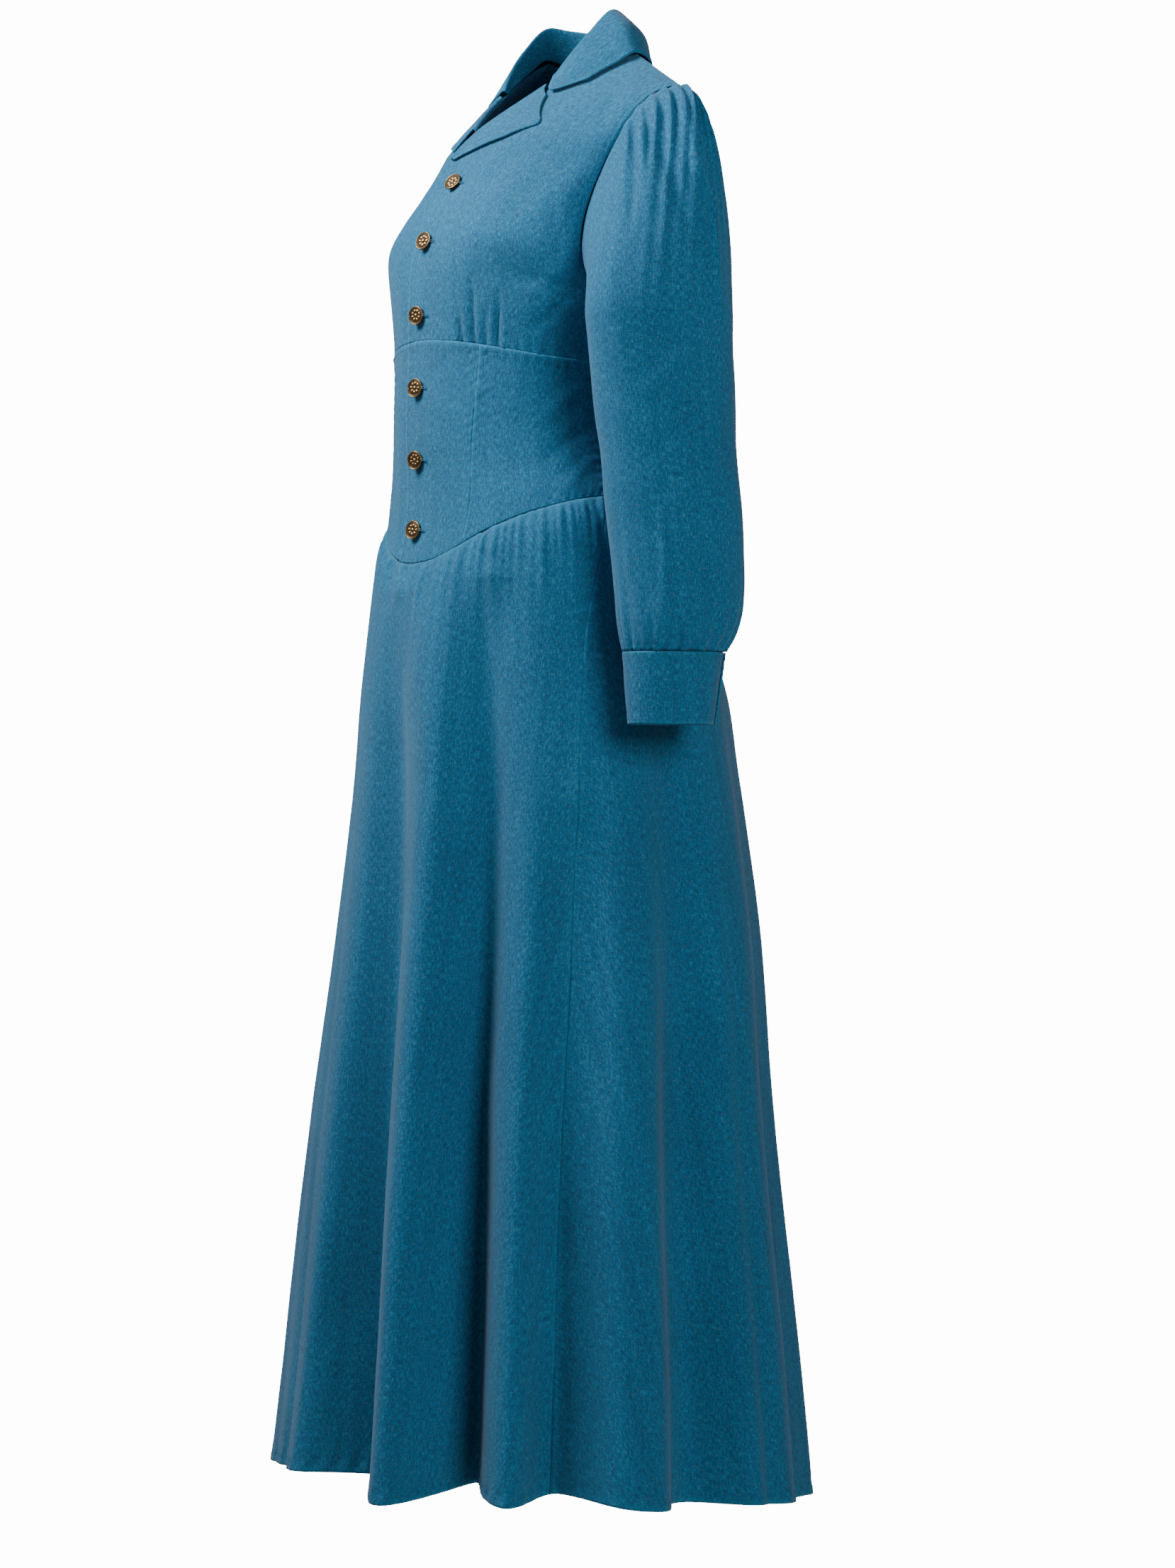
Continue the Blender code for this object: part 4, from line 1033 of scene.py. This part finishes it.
def buildSkirt():
    gap = -math.degrees(skirt["sideGap"] / skirt["halfWidth"])   # the sewn edges meet

    def side(height):
        return readColumn(sideRows, 1, height)

    plans = (
        ("skirtFront", "skirt_front", lambda z: -side(z) + gap, lambda z: side(z) - gap,
         skirt["columns"], "front"),
        ("skirtBack", "skirt_back", lambda z: side(z) + gap, lambda z: 360 - side(z) - gap,
         skirt["backColumns"], "back"),
    )
    for number, (name, node, first, last, columns, kind) in enumerate(plans):
        grid = skirtPanel(first, last, columns)
        normals = gridNormals(grid)
        run, left, climb, top = gridShares(grid)
        lift = settle(grid * np.array((1, 1, 0.45)), 31 + number, skirt["settle"])
        lift += creases(grid, normals, skirtCreases)
        lift += seamRelief(run, climb, 1.0 + number, 0.4, 0.25, 26.0, 6.0) * smooth(0, 30, top)
        lift += seamRelief(left, climb, 2.0 + number, 0.4, 0.25, 26.0, 6.0) * smooth(0, 30, top)
        hemPull = (0.7 * np.cos(2 * math.pi * (run + 5 * np.sin(run / 31.0)) / 17.0)
                   * bell((climb - 9) / 9.0))
        lift += hemPull + 0.5 * (1 - smooth(7.0, 10.0, climb)) - 0.35 * bell((climb - 8.4) / 1.6)
        wear = bell((climb - 0.5) / 2.5) * 0.6 + bell((top - 1) / 2.5) * 0.35
        wear = wear + 0.22 * smooth(0.4, 1.6, lift) * bell(top / 70.0)
        wear = wear + bell((run - 1) / 2.2) * 0.35 + bell((left - 1) / 2.2) * 0.35
        shaped = grid + normals * lift[..., None]
        addCloth(name, [shaped], [wear], dress["wall"], node)
        stitchRows(shaped, dress["wall"], skirt["hemStitch"], True)
    print("skirt made")


sleeve = {"columns": 150, "settle": 0.8, "headFullness": 1.25, "spread": 88.0, "reach": 0.42,
          "rise": 5.2,
          "cuffReach": 46.0, "cuffRise": 3.6, "cuffSpread": 5.2, "rightSwing": 24.0,
          "flat": (0.40, 0.50), "area": 0.172, "held": "gathered"}
# gathers of the sleeve head: angle from the shoulder, half width, reach down the cap, rise
headGathers = ((-74, 3.5, 0.22, 0.7), (-58, 3.8, 0.34, 0.9), (-43, 3.6, 0.42, 1.0),
               (-29, 3.4, 0.5, 1.1),
               (-16, 3.3, 0.42, 1.0), (-4, 3.2, 0.5, 1.15), (8, 3.3, 0.38, 1.0), (21, 3.5, 0.48, 1.1),
               (34, 3.6, 0.40, 1.0), (48, 3.8, 0.32, 0.9), (63, 3.8, 0.25, 0.75))
cuffGathers = ((12, 0.9), (29, 0.7), (44, 1.1), (58, 0.8), (71, 1.0), (86, 1.2), (99, 0.8), (112, 1.0),
               (131, 0.7),
               (150, 1.0), (171, 0.8), (192, 1.1), (214, 0.8), (236, 1.0), (258, 1.1), (276, 0.9),
               (298, 1.2),
               (316, 0.8), (333, 1.1), (349, 0.8))
sleeveCreases = (
    (965, 128, 1012, 300, 10, 8, 4.2), (1008, 290, 1025, 470, 6, 10, 3.0),
    (935, 150, 985, 340, 12, 10, -3.6),
    (893, 150, 889, 330, -3, 6.5, -4.2), (905, 170, 915, 300, 3, 8, 2.6),
    (905, 165, 912, 240, 3, 5, 1.8), (925, 160, 945, 260, 6, 6, -1.8),
    (960, 150, 990, 230, 5, 5, -1.6), (885, 300, 960, 420, 10, 13, 1.8),
    (870, 380, 950, 500, 12, 12, -1.8),
    (1000, 440, 900, 560, -12, 13, 1.9), (1010, 520, 920, 640, -10, 13, -1.7),
    (870, 560, 960, 650, 8, 12, 1.6),
    (1018, 640, 930, 720, -8, 12, 1.7), (870, 690, 950, 770, 8, 10, -1.5),
    (932, 713, 930, 915, -5, 6, 2.3),
    (950, 760, 962, 915, 4, 6, -2.0), (990, 862, 985, 918, 3, 5, 1.8), (890, 800, 899, 915, 3, 6, -1.8),
    (880, 760, 905, 912, -3, 6, 1.7), (965, 820, 968, 915, 2, 5, 1.6),
    (1005, 820, 1012, 915, 4, 6, -1.6),
    (915, 850, 917, 916, 1, 4, 1.5), (1020, 560, 990, 700, -5, 9, 1.2), (865, 460, 900, 530, 4, 9, 1.2),
)


# creases on the sleeve's hidden side: angle round it, half width, from, to, rise
sleeveBack = ((225, 9, -330, -230, 2.2), (248, 7, -460, -300, -1.8), (210, 8, -500, -380, 1.9),
              (262, 8, -540, -420, 1.8),
              (180, 8, -420, -290, 1.7), (195, 6, -545, -470, -1.6), (285, 7, -380, -270, 1.6),
              (155, 7, -540, -430, 1.5))


def sleeveHead(angle, place):
    outward = ringOutward(angle)
    start = armholePoint(angle)
    inward = np.stack((0 * angle, 45.0 - start[..., 1], -120.0 - start[..., 2]), axis=-1)
    start = start + unit(inward) * 3 * dress["seam"]
    start = start + np.array((dress["wall"] / 2 + 3 * dress["seam"], 0.0, 0.0))
    ringHeight = sleeveRows[-1][0]
    end = ringPoint(sleeveRows, angle, ringHeight + 0 * angle)
    leave = np.stack([readColumn(headRows, k, angle) for k in (1, 2, 3)], axis=-1)
    fall = np.minimum(-20.0, 0.75 * (ringHeight - start[..., 2]))
    arrive = np.stack((0 * fall, 0 * fall, fall), axis=-1)
    point = between(place[..., None], start, end, leave * sleeve["headFullness"], arrive)
    away = wrapped(angle)
    wave = 0 * angle
    for middle, spread, reach, rise in headGathers:
        wave = wave + rise * bell((away - middle) / spread) * np.exp(-((place / reach) ** 1.3))
    share = np.maximum(0.0, 1 - (np.abs(away) / sleeve["spread"]) ** 4)
    size = (sleeve["rise"] * (1.9 * wave - 0.85 * share * np.exp(-place / sleeve["reach"]))
            * np.minimum(1, 0.30 + 3 * place))
    lift = np.stack((0.45 * outward[..., 0] + 0.3, 0.45 * outward[..., 1], 0.75 + 0 * angle), axis=-1)
    return point + size[..., None] * lift


def sleeveBelow(angle, height):
    point = ringPoint(sleeveRows, angle, height)
    outward = ringOutward(angle)
    above = np.maximum(height - sleeveRows[0][0], 0.0)
    wave = -0.45
    for middle, rise in cuffGathers:
        wave = wave + rise * bell(wrapped(angle - middle) / sleeve["cuffSpread"])
    return (point + outward * (sleeve["cuffRise"] * wave
                               * np.exp(-((above / sleeve["cuffReach"]) ** 1.2)))[..., None])


def buildSleeves():
    angles = np.linspace(0, 360, sleeve["columns"], endpoint=False)[::-1]
    places = np.concatenate((np.array((0, 0.012, 0.026, 0.045)), np.linspace(0.065, 1, 44)))
    heights = np.concatenate((np.linspace(-253.5, -505, 62), np.linspace(-508, -560.6, 20)))
    low = sleeveBelow(*np.meshgrid(angles, heights))
    head = sleeveHead(*np.meshgrid(angles, places))
    plain = np.concatenate((low[::-1], head[::-1]), axis=0)
    swing = np.concatenate((np.ones(len(heights)), (places ** 2 * (3 - 2 * places))[::-1]))
    for side in ("left", "right"):
        grid = plain
        normals = gridNormals(grid, True)
        climb = arcs(grid, 0)
        top = climb[-1:] - climb
        seed = 41 if side == "left" else 43
        lift = (settle(grid * np.array((1, 1, 0.9)), seed, sleeve["settle"]) * smooth(0, 14, top)
                * smooth(0, 10, climb))
        lift += (creases(grid, normals, sleeveCreases) * smooth(0, 8, top)
                 * (1.0 if side == "left" else 0.8))
        for middle, spread, low1, high, rise in sleeveBack:
            away = wrapped(angles[None, :] - middle - 0.05 * (grid[..., 2] + 400))
            lift += (rise * bell(away / spread) * smooth(low1, low1 + 50, grid[..., 2])
                     * (1 - smooth(high - 50, high, grid[..., 2])))
        wear = (bell((climb - 1) / 2.5) * 0.3 + bell((top - 1) / 2.5) * 0.35
                + 0.2 * smooth(1.2, 3.0, lift))
        shaped = grid + normals * lift[..., None]
        if side == "right":
            shaped = (mirrored(shaped) + np.stack((0 * swing, sleeve["rightSwing"] * swing, 0 * swing),
                    axis=-1)[:, None])
            wear = wear[:, ::-1]
        addCloth(f"sleeve{side.title()}", [shaped], [wear], dress["wall"], f"sleeve_{side}",
                 closed=True)
    print("sleeves made")


cuff = {"bottomStitch": 4.5, "topStitch": 4.0, "heights": (-628.0, -561.4), "columns": 132,
        "overlap": 26.0, "edge": 292.0,
        "flat": (0.29, 0.068), "area": 0.0185, "held": "stretched"}


def buildCuffs():
    heights = cuff["heights"][0] + (cuff["heights"][1] - cuff["heights"][0]) * spaced(66.0, 3.0)
    share = spaced(cuff["columns"] * 2.2, 2.4)
    total = 360 + cuff["overlap"]
    angle = (cuff["edge"] - total * share)[None, :] + 0 * heights[:, None]
    outward = ringOutward(angle)
    tucked = smooth(0.80, 0.92, share)[None, :] + 0 * heights[:, None]
    plain = ringPoint(cuffRows, angle, heights[:, None] + 0 * angle)
    plain = plain - outward * ((dress["foldedWall"] + dress["seam"]) * tucked)[..., None]
    for side in ("left", "right"):
        grid = plain
        normals = gridNormals(grid)
        run, _, climb, top = gridShares(grid)
        lift = settle(grid, 51, 0.45)
        lift += (seamRelief(climb, run, 1.3, 0.35, 0.25, 8.0, 7.0)
                 + seamRelief(top, run, 2.3, 0.35, 0.3, 7.0, 6.0))
        lift += seamRelief(run, climb, 0.4, 0.35, 0.2, 8.0, 6.5)
        lift = lift * (1 - 0.8 * tucked)
        wear = (bell((climb - 0.6) / 2.2) * 0.6 + bell((top - 0.6) / 2.2) * 0.4
                + bell((run - 0.6) / 2.2) * 0.6)
        shaped = grid + normals * lift[..., None]
        if side == "right":
            shaped = mirrored(shaped) + np.array((0.0, sleeve["rightSwing"], 0.0))
            wear = wear[:, ::-1]
        addCloth(f"cuff{side.title()}", [shaped], [wear], dress["foldedWall"], f"cuff_{side}")
        for distance, bottom in ((cuff["bottomStitch"], True), (cuff["topStitch"], False)):
            stitchRows(shaped, dress["foldedWall"], distance, bottom)
        stitchColumns(shaped, dress["foldedWall"], cuff["bottomStitch"], side == "left", 0.06, 0.94)
    print("cuffs made")


lapel = {"stitch": 4.6, "beyond": (2.6, 3.8, 2.2), "lift": (-0.8, 1.6, 4.0, 4.0, 3.4, 3.0, 2.7),
         "rightStart": 0.36,
         "flat": (0.075, 0.13), "area": 0.0047, "held": "folded"}
collar = {"lift": 3.6, "stitch": 4.8, "flat": (0.40, 0.10), "area": 0.030, "held": "folded"}


def refined(control, count):
    return readRows(np.moveaxis(control, 1, 0),
                    np.linspace(0, control.shape[1] - 1, count)).transpose(1, 0, 2)


def buildLapels():
    along = np.linspace(0, 1, 66)
    roll = readColumn(lapelRows, 1, along)
    table = np.array(lapelRows)
    edgeAcross, edgeRow = np.interp(along, table[:, 0], table[:, 2]), np.interp(along, table[:, 0],
            table[:, 3])
    base = panelPoint(chestRows, 0 * roll, roll, True)
    inner = unit(panelPoint(chestRows, 0 * roll + 0.06, roll, True) - base)
    normal = panelNormal(chestRows, 0 * roll + 0.05, roll, True)
    control = [base - inner * beyond + normal * lift for beyond,
               lift in zip(lapel["beyond"], lapel["lift"])]
    for k in range(4):
        share = (k + 0.35) / 3.35
        spotAcross, spotRow = edgeAcross * share, roll + (edgeRow - roll) * share
        spot = panelPoint(chestRows, spotAcross, spotRow, True)
        control.append(spot + panelNormal(chestRows, np.maximum(spotAcross, 0.02), spotRow, True)
                       * lapel["lift"][3 + k])
    grid = refined(np.array(control).transpose(1, 0, 2), 34)
    for side in ("left", "right"):
        part = grid if side == "left" else grid[int(lapel["rightStart"] * 65):]
        normals = gridNormals(part)
        _, left, _, top = gridShares(part)
        lift = settle(part, 61, 0.35) + 0.35 * (1 - smooth(4, 7, left)) - 0.25 * bell((left - 5) / 1.2)
        wear = bell((left - 0.5) / 2.2) * 0.6 + bell((top - 0.5) / 2.2) * 0.5
        shaped = part + normals * lift[..., None]
        if side == "right":
            shaped, wear = mirrored(shaped), wear[:, ::-1]
        addCloth(f"lapel{side.title()}", [shaped], [wear], dress["collarWall"], f"lapel_{side}")
        stitchColumns(shaped, dress["collarWall"], lapel["stitch"], side == "right", 0.04, 0.96)
    print("lapels made")


def buildCollar():
    places = np.linspace(0, 6, 96)
    rows = readRows(collarRows, places)
    edges = []
    for where, across, row in collarEdge:
        isFront = where == "front"
        table = chestRows if isFront else backRows
        spot = panelPoint(table, np.array(across), np.array(row), isFront)
        edges.append(spot + collar["lift"] * panelNormal(table, np.array(max(across, 0.02)),
                np.array(row), isFront))
    edge = readRows(edges, places)
    seam, fold, middle = rows[:, 0:3], rows[:, 3:6], rows[:, 6:9]
    over = fold + (middle - fold) * 0.22 + np.array((0, 0, 2.2))
    control = np.array([seam, seam + (fold - seam) * 0.5, fold, over, middle, edge]).transpose(1, 0, 2)
    knots = refined(control, 44)
    whole = np.concatenate((knots[::-1][:-1] * np.array((-1, 1, 1)), knots))[:, ::-1]
    normals = gridNormals(whole)
    run, _, climb, top = gridShares(whole)
    rim = np.minimum(run, np.minimum(climb, top))
    lift = settle(whole, 71, 0.35) + 0.35 * (1 - smooth(4, 7, rim)) - 0.25 * bell((rim - 5) / 1.2)
    shaped = whole + normals * lift[..., None]
    addCloth("collarFold", [shaped], [bell((rim - 0.5) / 2.2) * 0.6], dress["collarWall"], "collar")
    stitchColumns(shaped, dress["collarWall"], collar["stitch"], True, 0.02, 0.98)
    stitchRows(shaped, dress["collarWall"], collar["stitch"], True, 0.05, 0.55)
    stitchRows(shaped, dress["collarWall"], collar["stitch"], False, 0.05, 0.55)
    print("collar made")


facing = {"depths": (2.0, 11.0, 20.0), "inset": 4.0, "wall": 1.0, "start": 11.05, "reach": 2.2,
          "flat": (0.19, 0.022), "area": 0.0038, "held": "stretched"}


def nearestOnBack(point):
    across, row, reachAcross, reachRow = 0.2, 11.5, 0.2, 2.4
    for _ in range(7):
        a, r = np.meshgrid(across + np.linspace(-1, 1, 9) * reachAcross,
                           row + np.linspace(-1, 1, 9) * reachRow)
        a, r = np.maximum(a.ravel(), 0.0), np.clip(r.ravel(), 0.0, 13.9)
        best = np.argmin(np.linalg.norm(panelPoint(backRows, a, r, False) - point, axis=-1))
        across, row = a[best], r[best]
        reachAcross, reachRow = reachAcross * 0.4, reachRow * 0.4
    return across, row


def buildFacing():
    half = []
    for share in np.linspace(0, 1, 6):
        row = np.array(facing["start"] + facing["reach"] * share)
        neck = panelPoint(backRows, 0 * row, row, False)
        tangent = unit(panelPoint(backRows, 0 * row, row + 0.05, False)
                       - panelPoint(backRows, 0 * row, row - 0.05, False))
        down = np.cross(tangent, panelNormal(backRows, 0 * row + 0.04, row, False))
        down = -down if down[2] > 0 else down
        line = []
        for depth in facing["depths"]:
            across, low = nearestOnBack(neck + down * depth)
            spot = panelPoint(backRows, np.array(across), np.array(low), False)
            spot = (spot - panelNormal(backRows, np.array(max(across, 0.03)), np.array(low), False)
                    * facing["inset"])
            line.append(spot * np.array((0.0 if share == 0 else 1.0, 1, 1)))
        half.append(line)
    half = np.array(half)
    whole = np.concatenate((half[::-1][:-1] * np.array((-1, 1, 1)), half))
    fine = refined(readRows(whole, np.linspace(0, 10, 61)), 12)
    addCloth("neckFacing", [fine], [0 * fine[..., 0]], facing["wall"], "back_neck_facing",
             slot="facing")
    print("neck facing made")


button = {"heights": (-112, -169, -239, -308, -376, -443), "radius": 9.0, "x": 8.0, "shank": 1.2,
          "shankRadius": 3.0, "spin": 0.37, "hole": (6.0, 15.0), "holeEdge": 0.8, "thick": 3.2,
          "petals": 8, "beads": 26, "tip": 18.0, "stand": 1.3, "gap": 0.5, "turn": 84}


def buttonHeight(r, turn):
    # the moulded face: raised rim, ring of beads, petals and a domed middle
    rim = 0.95 * bell((r - 8.35) / 0.55)
    beads = 0.55 * bell((r - 7.0) / 0.42) * np.abs(np.cos(turn * button["beads"] / 2)) ** 0.7
    petals = (0.85 * np.sin(math.pi * np.clip((r - 2.3) / 3.9, 0, 1)) ** 0.7
              * np.abs(np.cos(turn * button["petals"] / 2)) ** 0.55)
    dome = 1.15 * np.sqrt(np.clip(1 - (r / 1.9) ** 2, 0, 1)) + 0.3 * bell((r - 2.25) / 0.2)
    return rim + beads + petals + dome


def buildButtons():
    radii = np.concatenate((np.linspace(0.25, 2.5, 9), np.linspace(2.9, 6.3, 10),
                            np.linspace(6.55, button["radius"], 13)))
    turns = np.linspace(0, 2 * math.pi, button["turn"], endpoint=False)
    r, t = np.meshgrid(radii, turns, indexing="ij")
    top = button["shank"] + button["thick"] - 1.6
    high = buttonHeight(r, t)
    rings = [np.stack((r[k] * np.cos(t[k]), r[k] * np.sin(t[k]), top + high[k]), axis=-1)
             for k in range(len(radii))]
    raised = [np.clip(high[k] / 1.0, 0, 1) for k in range(len(radii))]
    for radius, z in ((button["radius"], top - 0.3), (8.3, button["shank"] + 0.1),
                      (button["shankRadius"], button["shank"]), (button["shankRadius"], 0.0), (0.4,
            0.0)):
        rings.append(np.stack((radius * np.cos(turns), radius * np.sin(turns), 0 * turns + z), axis=-1))
        raised.append(0 * turns + 0.35)
    count = len(turns)
    points = np.concatenate([np.array(rings).reshape(-1, 3),
                             [(0, 0, top + buttonHeight(np.array(0.0), 0.0)), (0, 0, 0)]])
    faces = [(k * count + c, (k + 1) * count + c, (k + 1) * count + (c + 1) % count,
              k * count + (c + 1) % count)
             for k in range(len(rings) - 1) for c in range(count)]
    faces += [(len(points) - 2, c, (c + 1) % count) for c in range(count)]
    base = (len(rings) - 1) * count
    faces += [(len(points) - 1, base + (c + 1) % count, base + c) for c in range(count)]
    values = np.concatenate([np.array(raised).reshape(-1), [1.0, 0.3]])
    chest = np.array(chestRows)
    for number, height in enumerate(button["heights"], start=1):
        if height > chest[0, 2]:
            row = np.array(np.interp(height, chest[:breakRow, 2], np.arange(breakRow)))
            across = -lapAcross(chestRows, row, button["x"])
            seat, out = panelPoint(chestRows, across, row, True), panelNormal(chestRows, across, row,
                    True)
        else:
            angle = np.degrees(np.arcsin(button["x"] / readColumn(sectionRows, 1, np.array(height))))
            seat = sectionPoint(angle, np.array(float(height)))
            up = (sectionPoint(angle, np.array(height + 4.0))
                  - sectionPoint(angle, np.array(height - 4.0)))
            out = unit(np.cross(sectionPoint(angle + 2, np.array(float(height)))
                                - sectionPoint(angle - 2, np.array(float(height))), up))
        seat = (seat + out * (dress["wall"] / 2 + button["gap"])
                - np.array((0.0, dress["shoulderY"], 0.0)))
        tip = math.radians(button["tip"])   # each one leans over on its thread
        leaning = np.array((out[0] * math.cos(tip) - out[1] * math.sin(tip),
                            out[0] * math.sin(tip) + out[1] * math.cos(tip), out[2]))
        seat = seat + out * button["stand"]
        turned = np.array(Vector(leaning).to_track_quat("Z", "Y").to_matrix())
        spin = number * button["spin"]
        spun = np.array(((math.cos(spin), -math.sin(spin), 0), (math.sin(spin), math.cos(spin), 0),
                         (0, 0, 1)))
        mesh = bpy.data.meshes.new(f"button{number}")
        mesh.from_pydata([tuple(p) for p in (points @ spun.T @ turned.T + seat) * 0.001], [], faces)
        mesh.attributes.new("raised", "FLOAT", "POINT").data.foreach_set("value",
                values.astype(np.float32))
        mesh.shade_smooth()
        mesh.materials.append(brass)
        piece = linked(f"button{number}", mesh)
        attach(piece, "root")
        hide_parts(f"button_{number}")
        side = unit(np.cross((0.0, 0.0, 1.0), out))
        level = seat + np.array((0.0, dress["shoulderY"], 0.0)) - out * 0.35
        for k in (-1, 1):
            edge = np.cross(out, side) * button["holeEdge"] * k
            buttonholes.append(np.array([level + side * end + edge for end in button["hole"]]))
    print("buttons made")


topstitch = {"pitch": 0.0031, "length": 0.0023, "width": 0.00038}
buttonholeStitch = {"pitch": 0.0008, "length": 0.0011, "width": 0.0010}


def stitchTree():
    tree = bpy.data.node_groups.new("stitches", "GeometryNodeTree")
    tree.interface.new_socket("Geometry", in_out="INPUT", socket_type="NodeSocketGeometry")
    for label in ("Pitch", "Length", "Width"):
        tree.interface.new_socket(label, in_out="INPUT", socket_type="NodeSocketFloat")
    tree.interface.new_socket("Thread", in_out="INPUT", socket_type="NodeSocketMaterial")
    tree.interface.new_socket("Geometry", in_out="OUTPUT", socket_type="NodeSocketGeometry")

    def add(kind, **links):
        node = tree.nodes.new(kind)
        for key, value in links.items():
            tree.links.new(value, node.inputs[key.replace("_", " ")])
        return node

    given = add("NodeGroupInput").outputs
    curve = add("GeometryNodeMeshToCurve", Mesh=given["Geometry"])
    spaced = tree.nodes.new("GeometryNodeResampleCurve")
    spaced.mode = "LENGTH"
    tree.links.new(curve.outputs[0], spaced.inputs["Curve"])
    tree.links.new(given["Pitch"], spaced.inputs["Length"])
    capsule = tree.nodes.new("GeometryNodeMeshIcoSphere")
    capsule.inputs["Radius"].default_value = 0.5
    capsule.inputs["Subdivisions"].default_value = 1
    size = add("ShaderNodeCombineXYZ", X=given["Width"], Y=given["Width"], Z=given["Length"])
    shaped = add("GeometryNodeTransform", Geometry=capsule.outputs[0], Scale=size.outputs[0])
    tangent = add("GeometryNodeInputTangent")
    turn = tree.nodes.new("FunctionNodeAlignRotationToVector")
    turn.axis = "Z"
    tree.links.new(tangent.outputs[0], turn.inputs["Vector"])
    placed = add("GeometryNodeInstanceOnPoints", Points=spaced.outputs[0], Instance=shaped.outputs[0],
                 Rotation=turn.outputs[0])
    real = add("GeometryNodeRealizeInstances", Geometry=placed.outputs[0])
    dyed = add("GeometryNodeSetMaterial", Geometry=real.outputs[0], Material=given["Thread"])
    add("NodeGroupOutput", Geometry=dyed.outputs[0])
    return tree


def buildStitches(name, paths, sizes, tree):
    points, edges = [], []
    for path in paths:
        first = len(points)
        points.extend(placed(path).tolist())
        edges.extend((k, k + 1) for k in range(first, len(points) - 1))
    mesh = bpy.data.meshes.new(name)
    mesh.from_pydata(points, edges, [])
    piece = linked(name, mesh)
    modifier = piece.modifiers.new("stitches", "NODES")
    modifier.node_group = tree
    values = {"Pitch": sizes["pitch"], "Length": sizes["length"], "Width": sizes["width"],
              "Thread": thread}
    for item in tree.interface.items_tree:
        if item.in_out == "INPUT" and item.name in values:
            modifier[item.identifier] = values[item.name]
    applyModifiers(piece)
    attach(piece, "root")
    print(name, len(piece.data.polygons), "faces")


buildFronts()
buildBack()
buildMidriff()
buildSkirt()
buildSleeves()
buildCuffs()
buildLapels()
buildCollar()
buildFacing()
buildButtons()
tree = stitchTree()
buildStitches("topstitching", stitchPaths, topstitch, tree)
buildStitches("buttonholeThread", buttonholes, buttonholeStitch, tree)

stage = {"floorZ": -2.6, "floorSize": 4.2, "floorColour": (0.86, 0.86, 0.86), "world": 0.11,
         "background": 14.0,
         "floorGlow": 0.03}
# lamps: azimuth, height, distance, height aimed at, power, size
lamps = {"key": (-14.0, 0.95, 1.25, -0.10, 70.0, 0.9), "fill": (92.0, 0.30, 2.8, -0.60, 44.0, 1.2),
         "rim": (230.0, 0.20, 3.2, -0.60, 22.0, 1.8)}


def buildStage():
    mesh = bpy.data.meshes.new("floor")
    s, z = stage["floorSize"], stage["floorZ"]
    mesh.from_pydata([(-s, -s, z), (s, -s, z), (s, s, z), (-s, s, z)], [], [(0, 1, 2, 3)])
    floor = linked("floor", mesh)
    finish = Finish("paleFloor", 0.9)
    place = finish.node("ShaderNodeTexCoord")
    tone = finish.noise(place.outputs["Object"], 1.5)
    finish.feed("Base Color", finish.blend(tone, stage["floorColour"], (0.9, 0.9, 0.9)))
    finish.shader.inputs["Emission Color"].default_value = (1.0, 1.0, 1.0, 1.0)
    finish.shader.inputs["Emission Strength"].default_value = stage["floorGlow"]
    mesh.materials.append(finish.material)
    world = bpy.data.worlds.new("studio")
    world.use_nodes = True
    world.node_tree.nodes["Background"].inputs[0].default_value = (1.0, 1.0, 1.0, 1.0)
    # white behind the dress, softer light on it
    seen = world.node_tree.nodes.new("ShaderNodeLightPath")
    strength = world.node_tree.nodes.new("ShaderNodeMapRange")
    strength.inputs["To Min"].default_value = stage["world"]
    strength.inputs["To Max"].default_value = stage["background"]
    world.node_tree.links.new(seen.outputs["Is Camera Ray"], strength.inputs["Value"])
    world.node_tree.links.new(strength.outputs[0], world.node_tree.nodes["Background"].inputs[1])
    bpy.context.scene.world = world
    for name, (azimuth, height, distance, aim, power, size) in lamps.items():
        light = bpy.data.lights.new(name, "AREA")
        light.energy = power
        light.size = size
        lamp = linked(name, light)
        turn = math.radians(azimuth)
        focus = Vector((0.0, -0.07, aim))
        lamp.location = (math.sin(turn) * distance, -0.07 - math.cos(turn) * distance, height)
        lamp.rotation_euler = (focus - lamp.location).to_track_quat("-Z", "Y").to_euler()
    print("stage made")


buildStage()
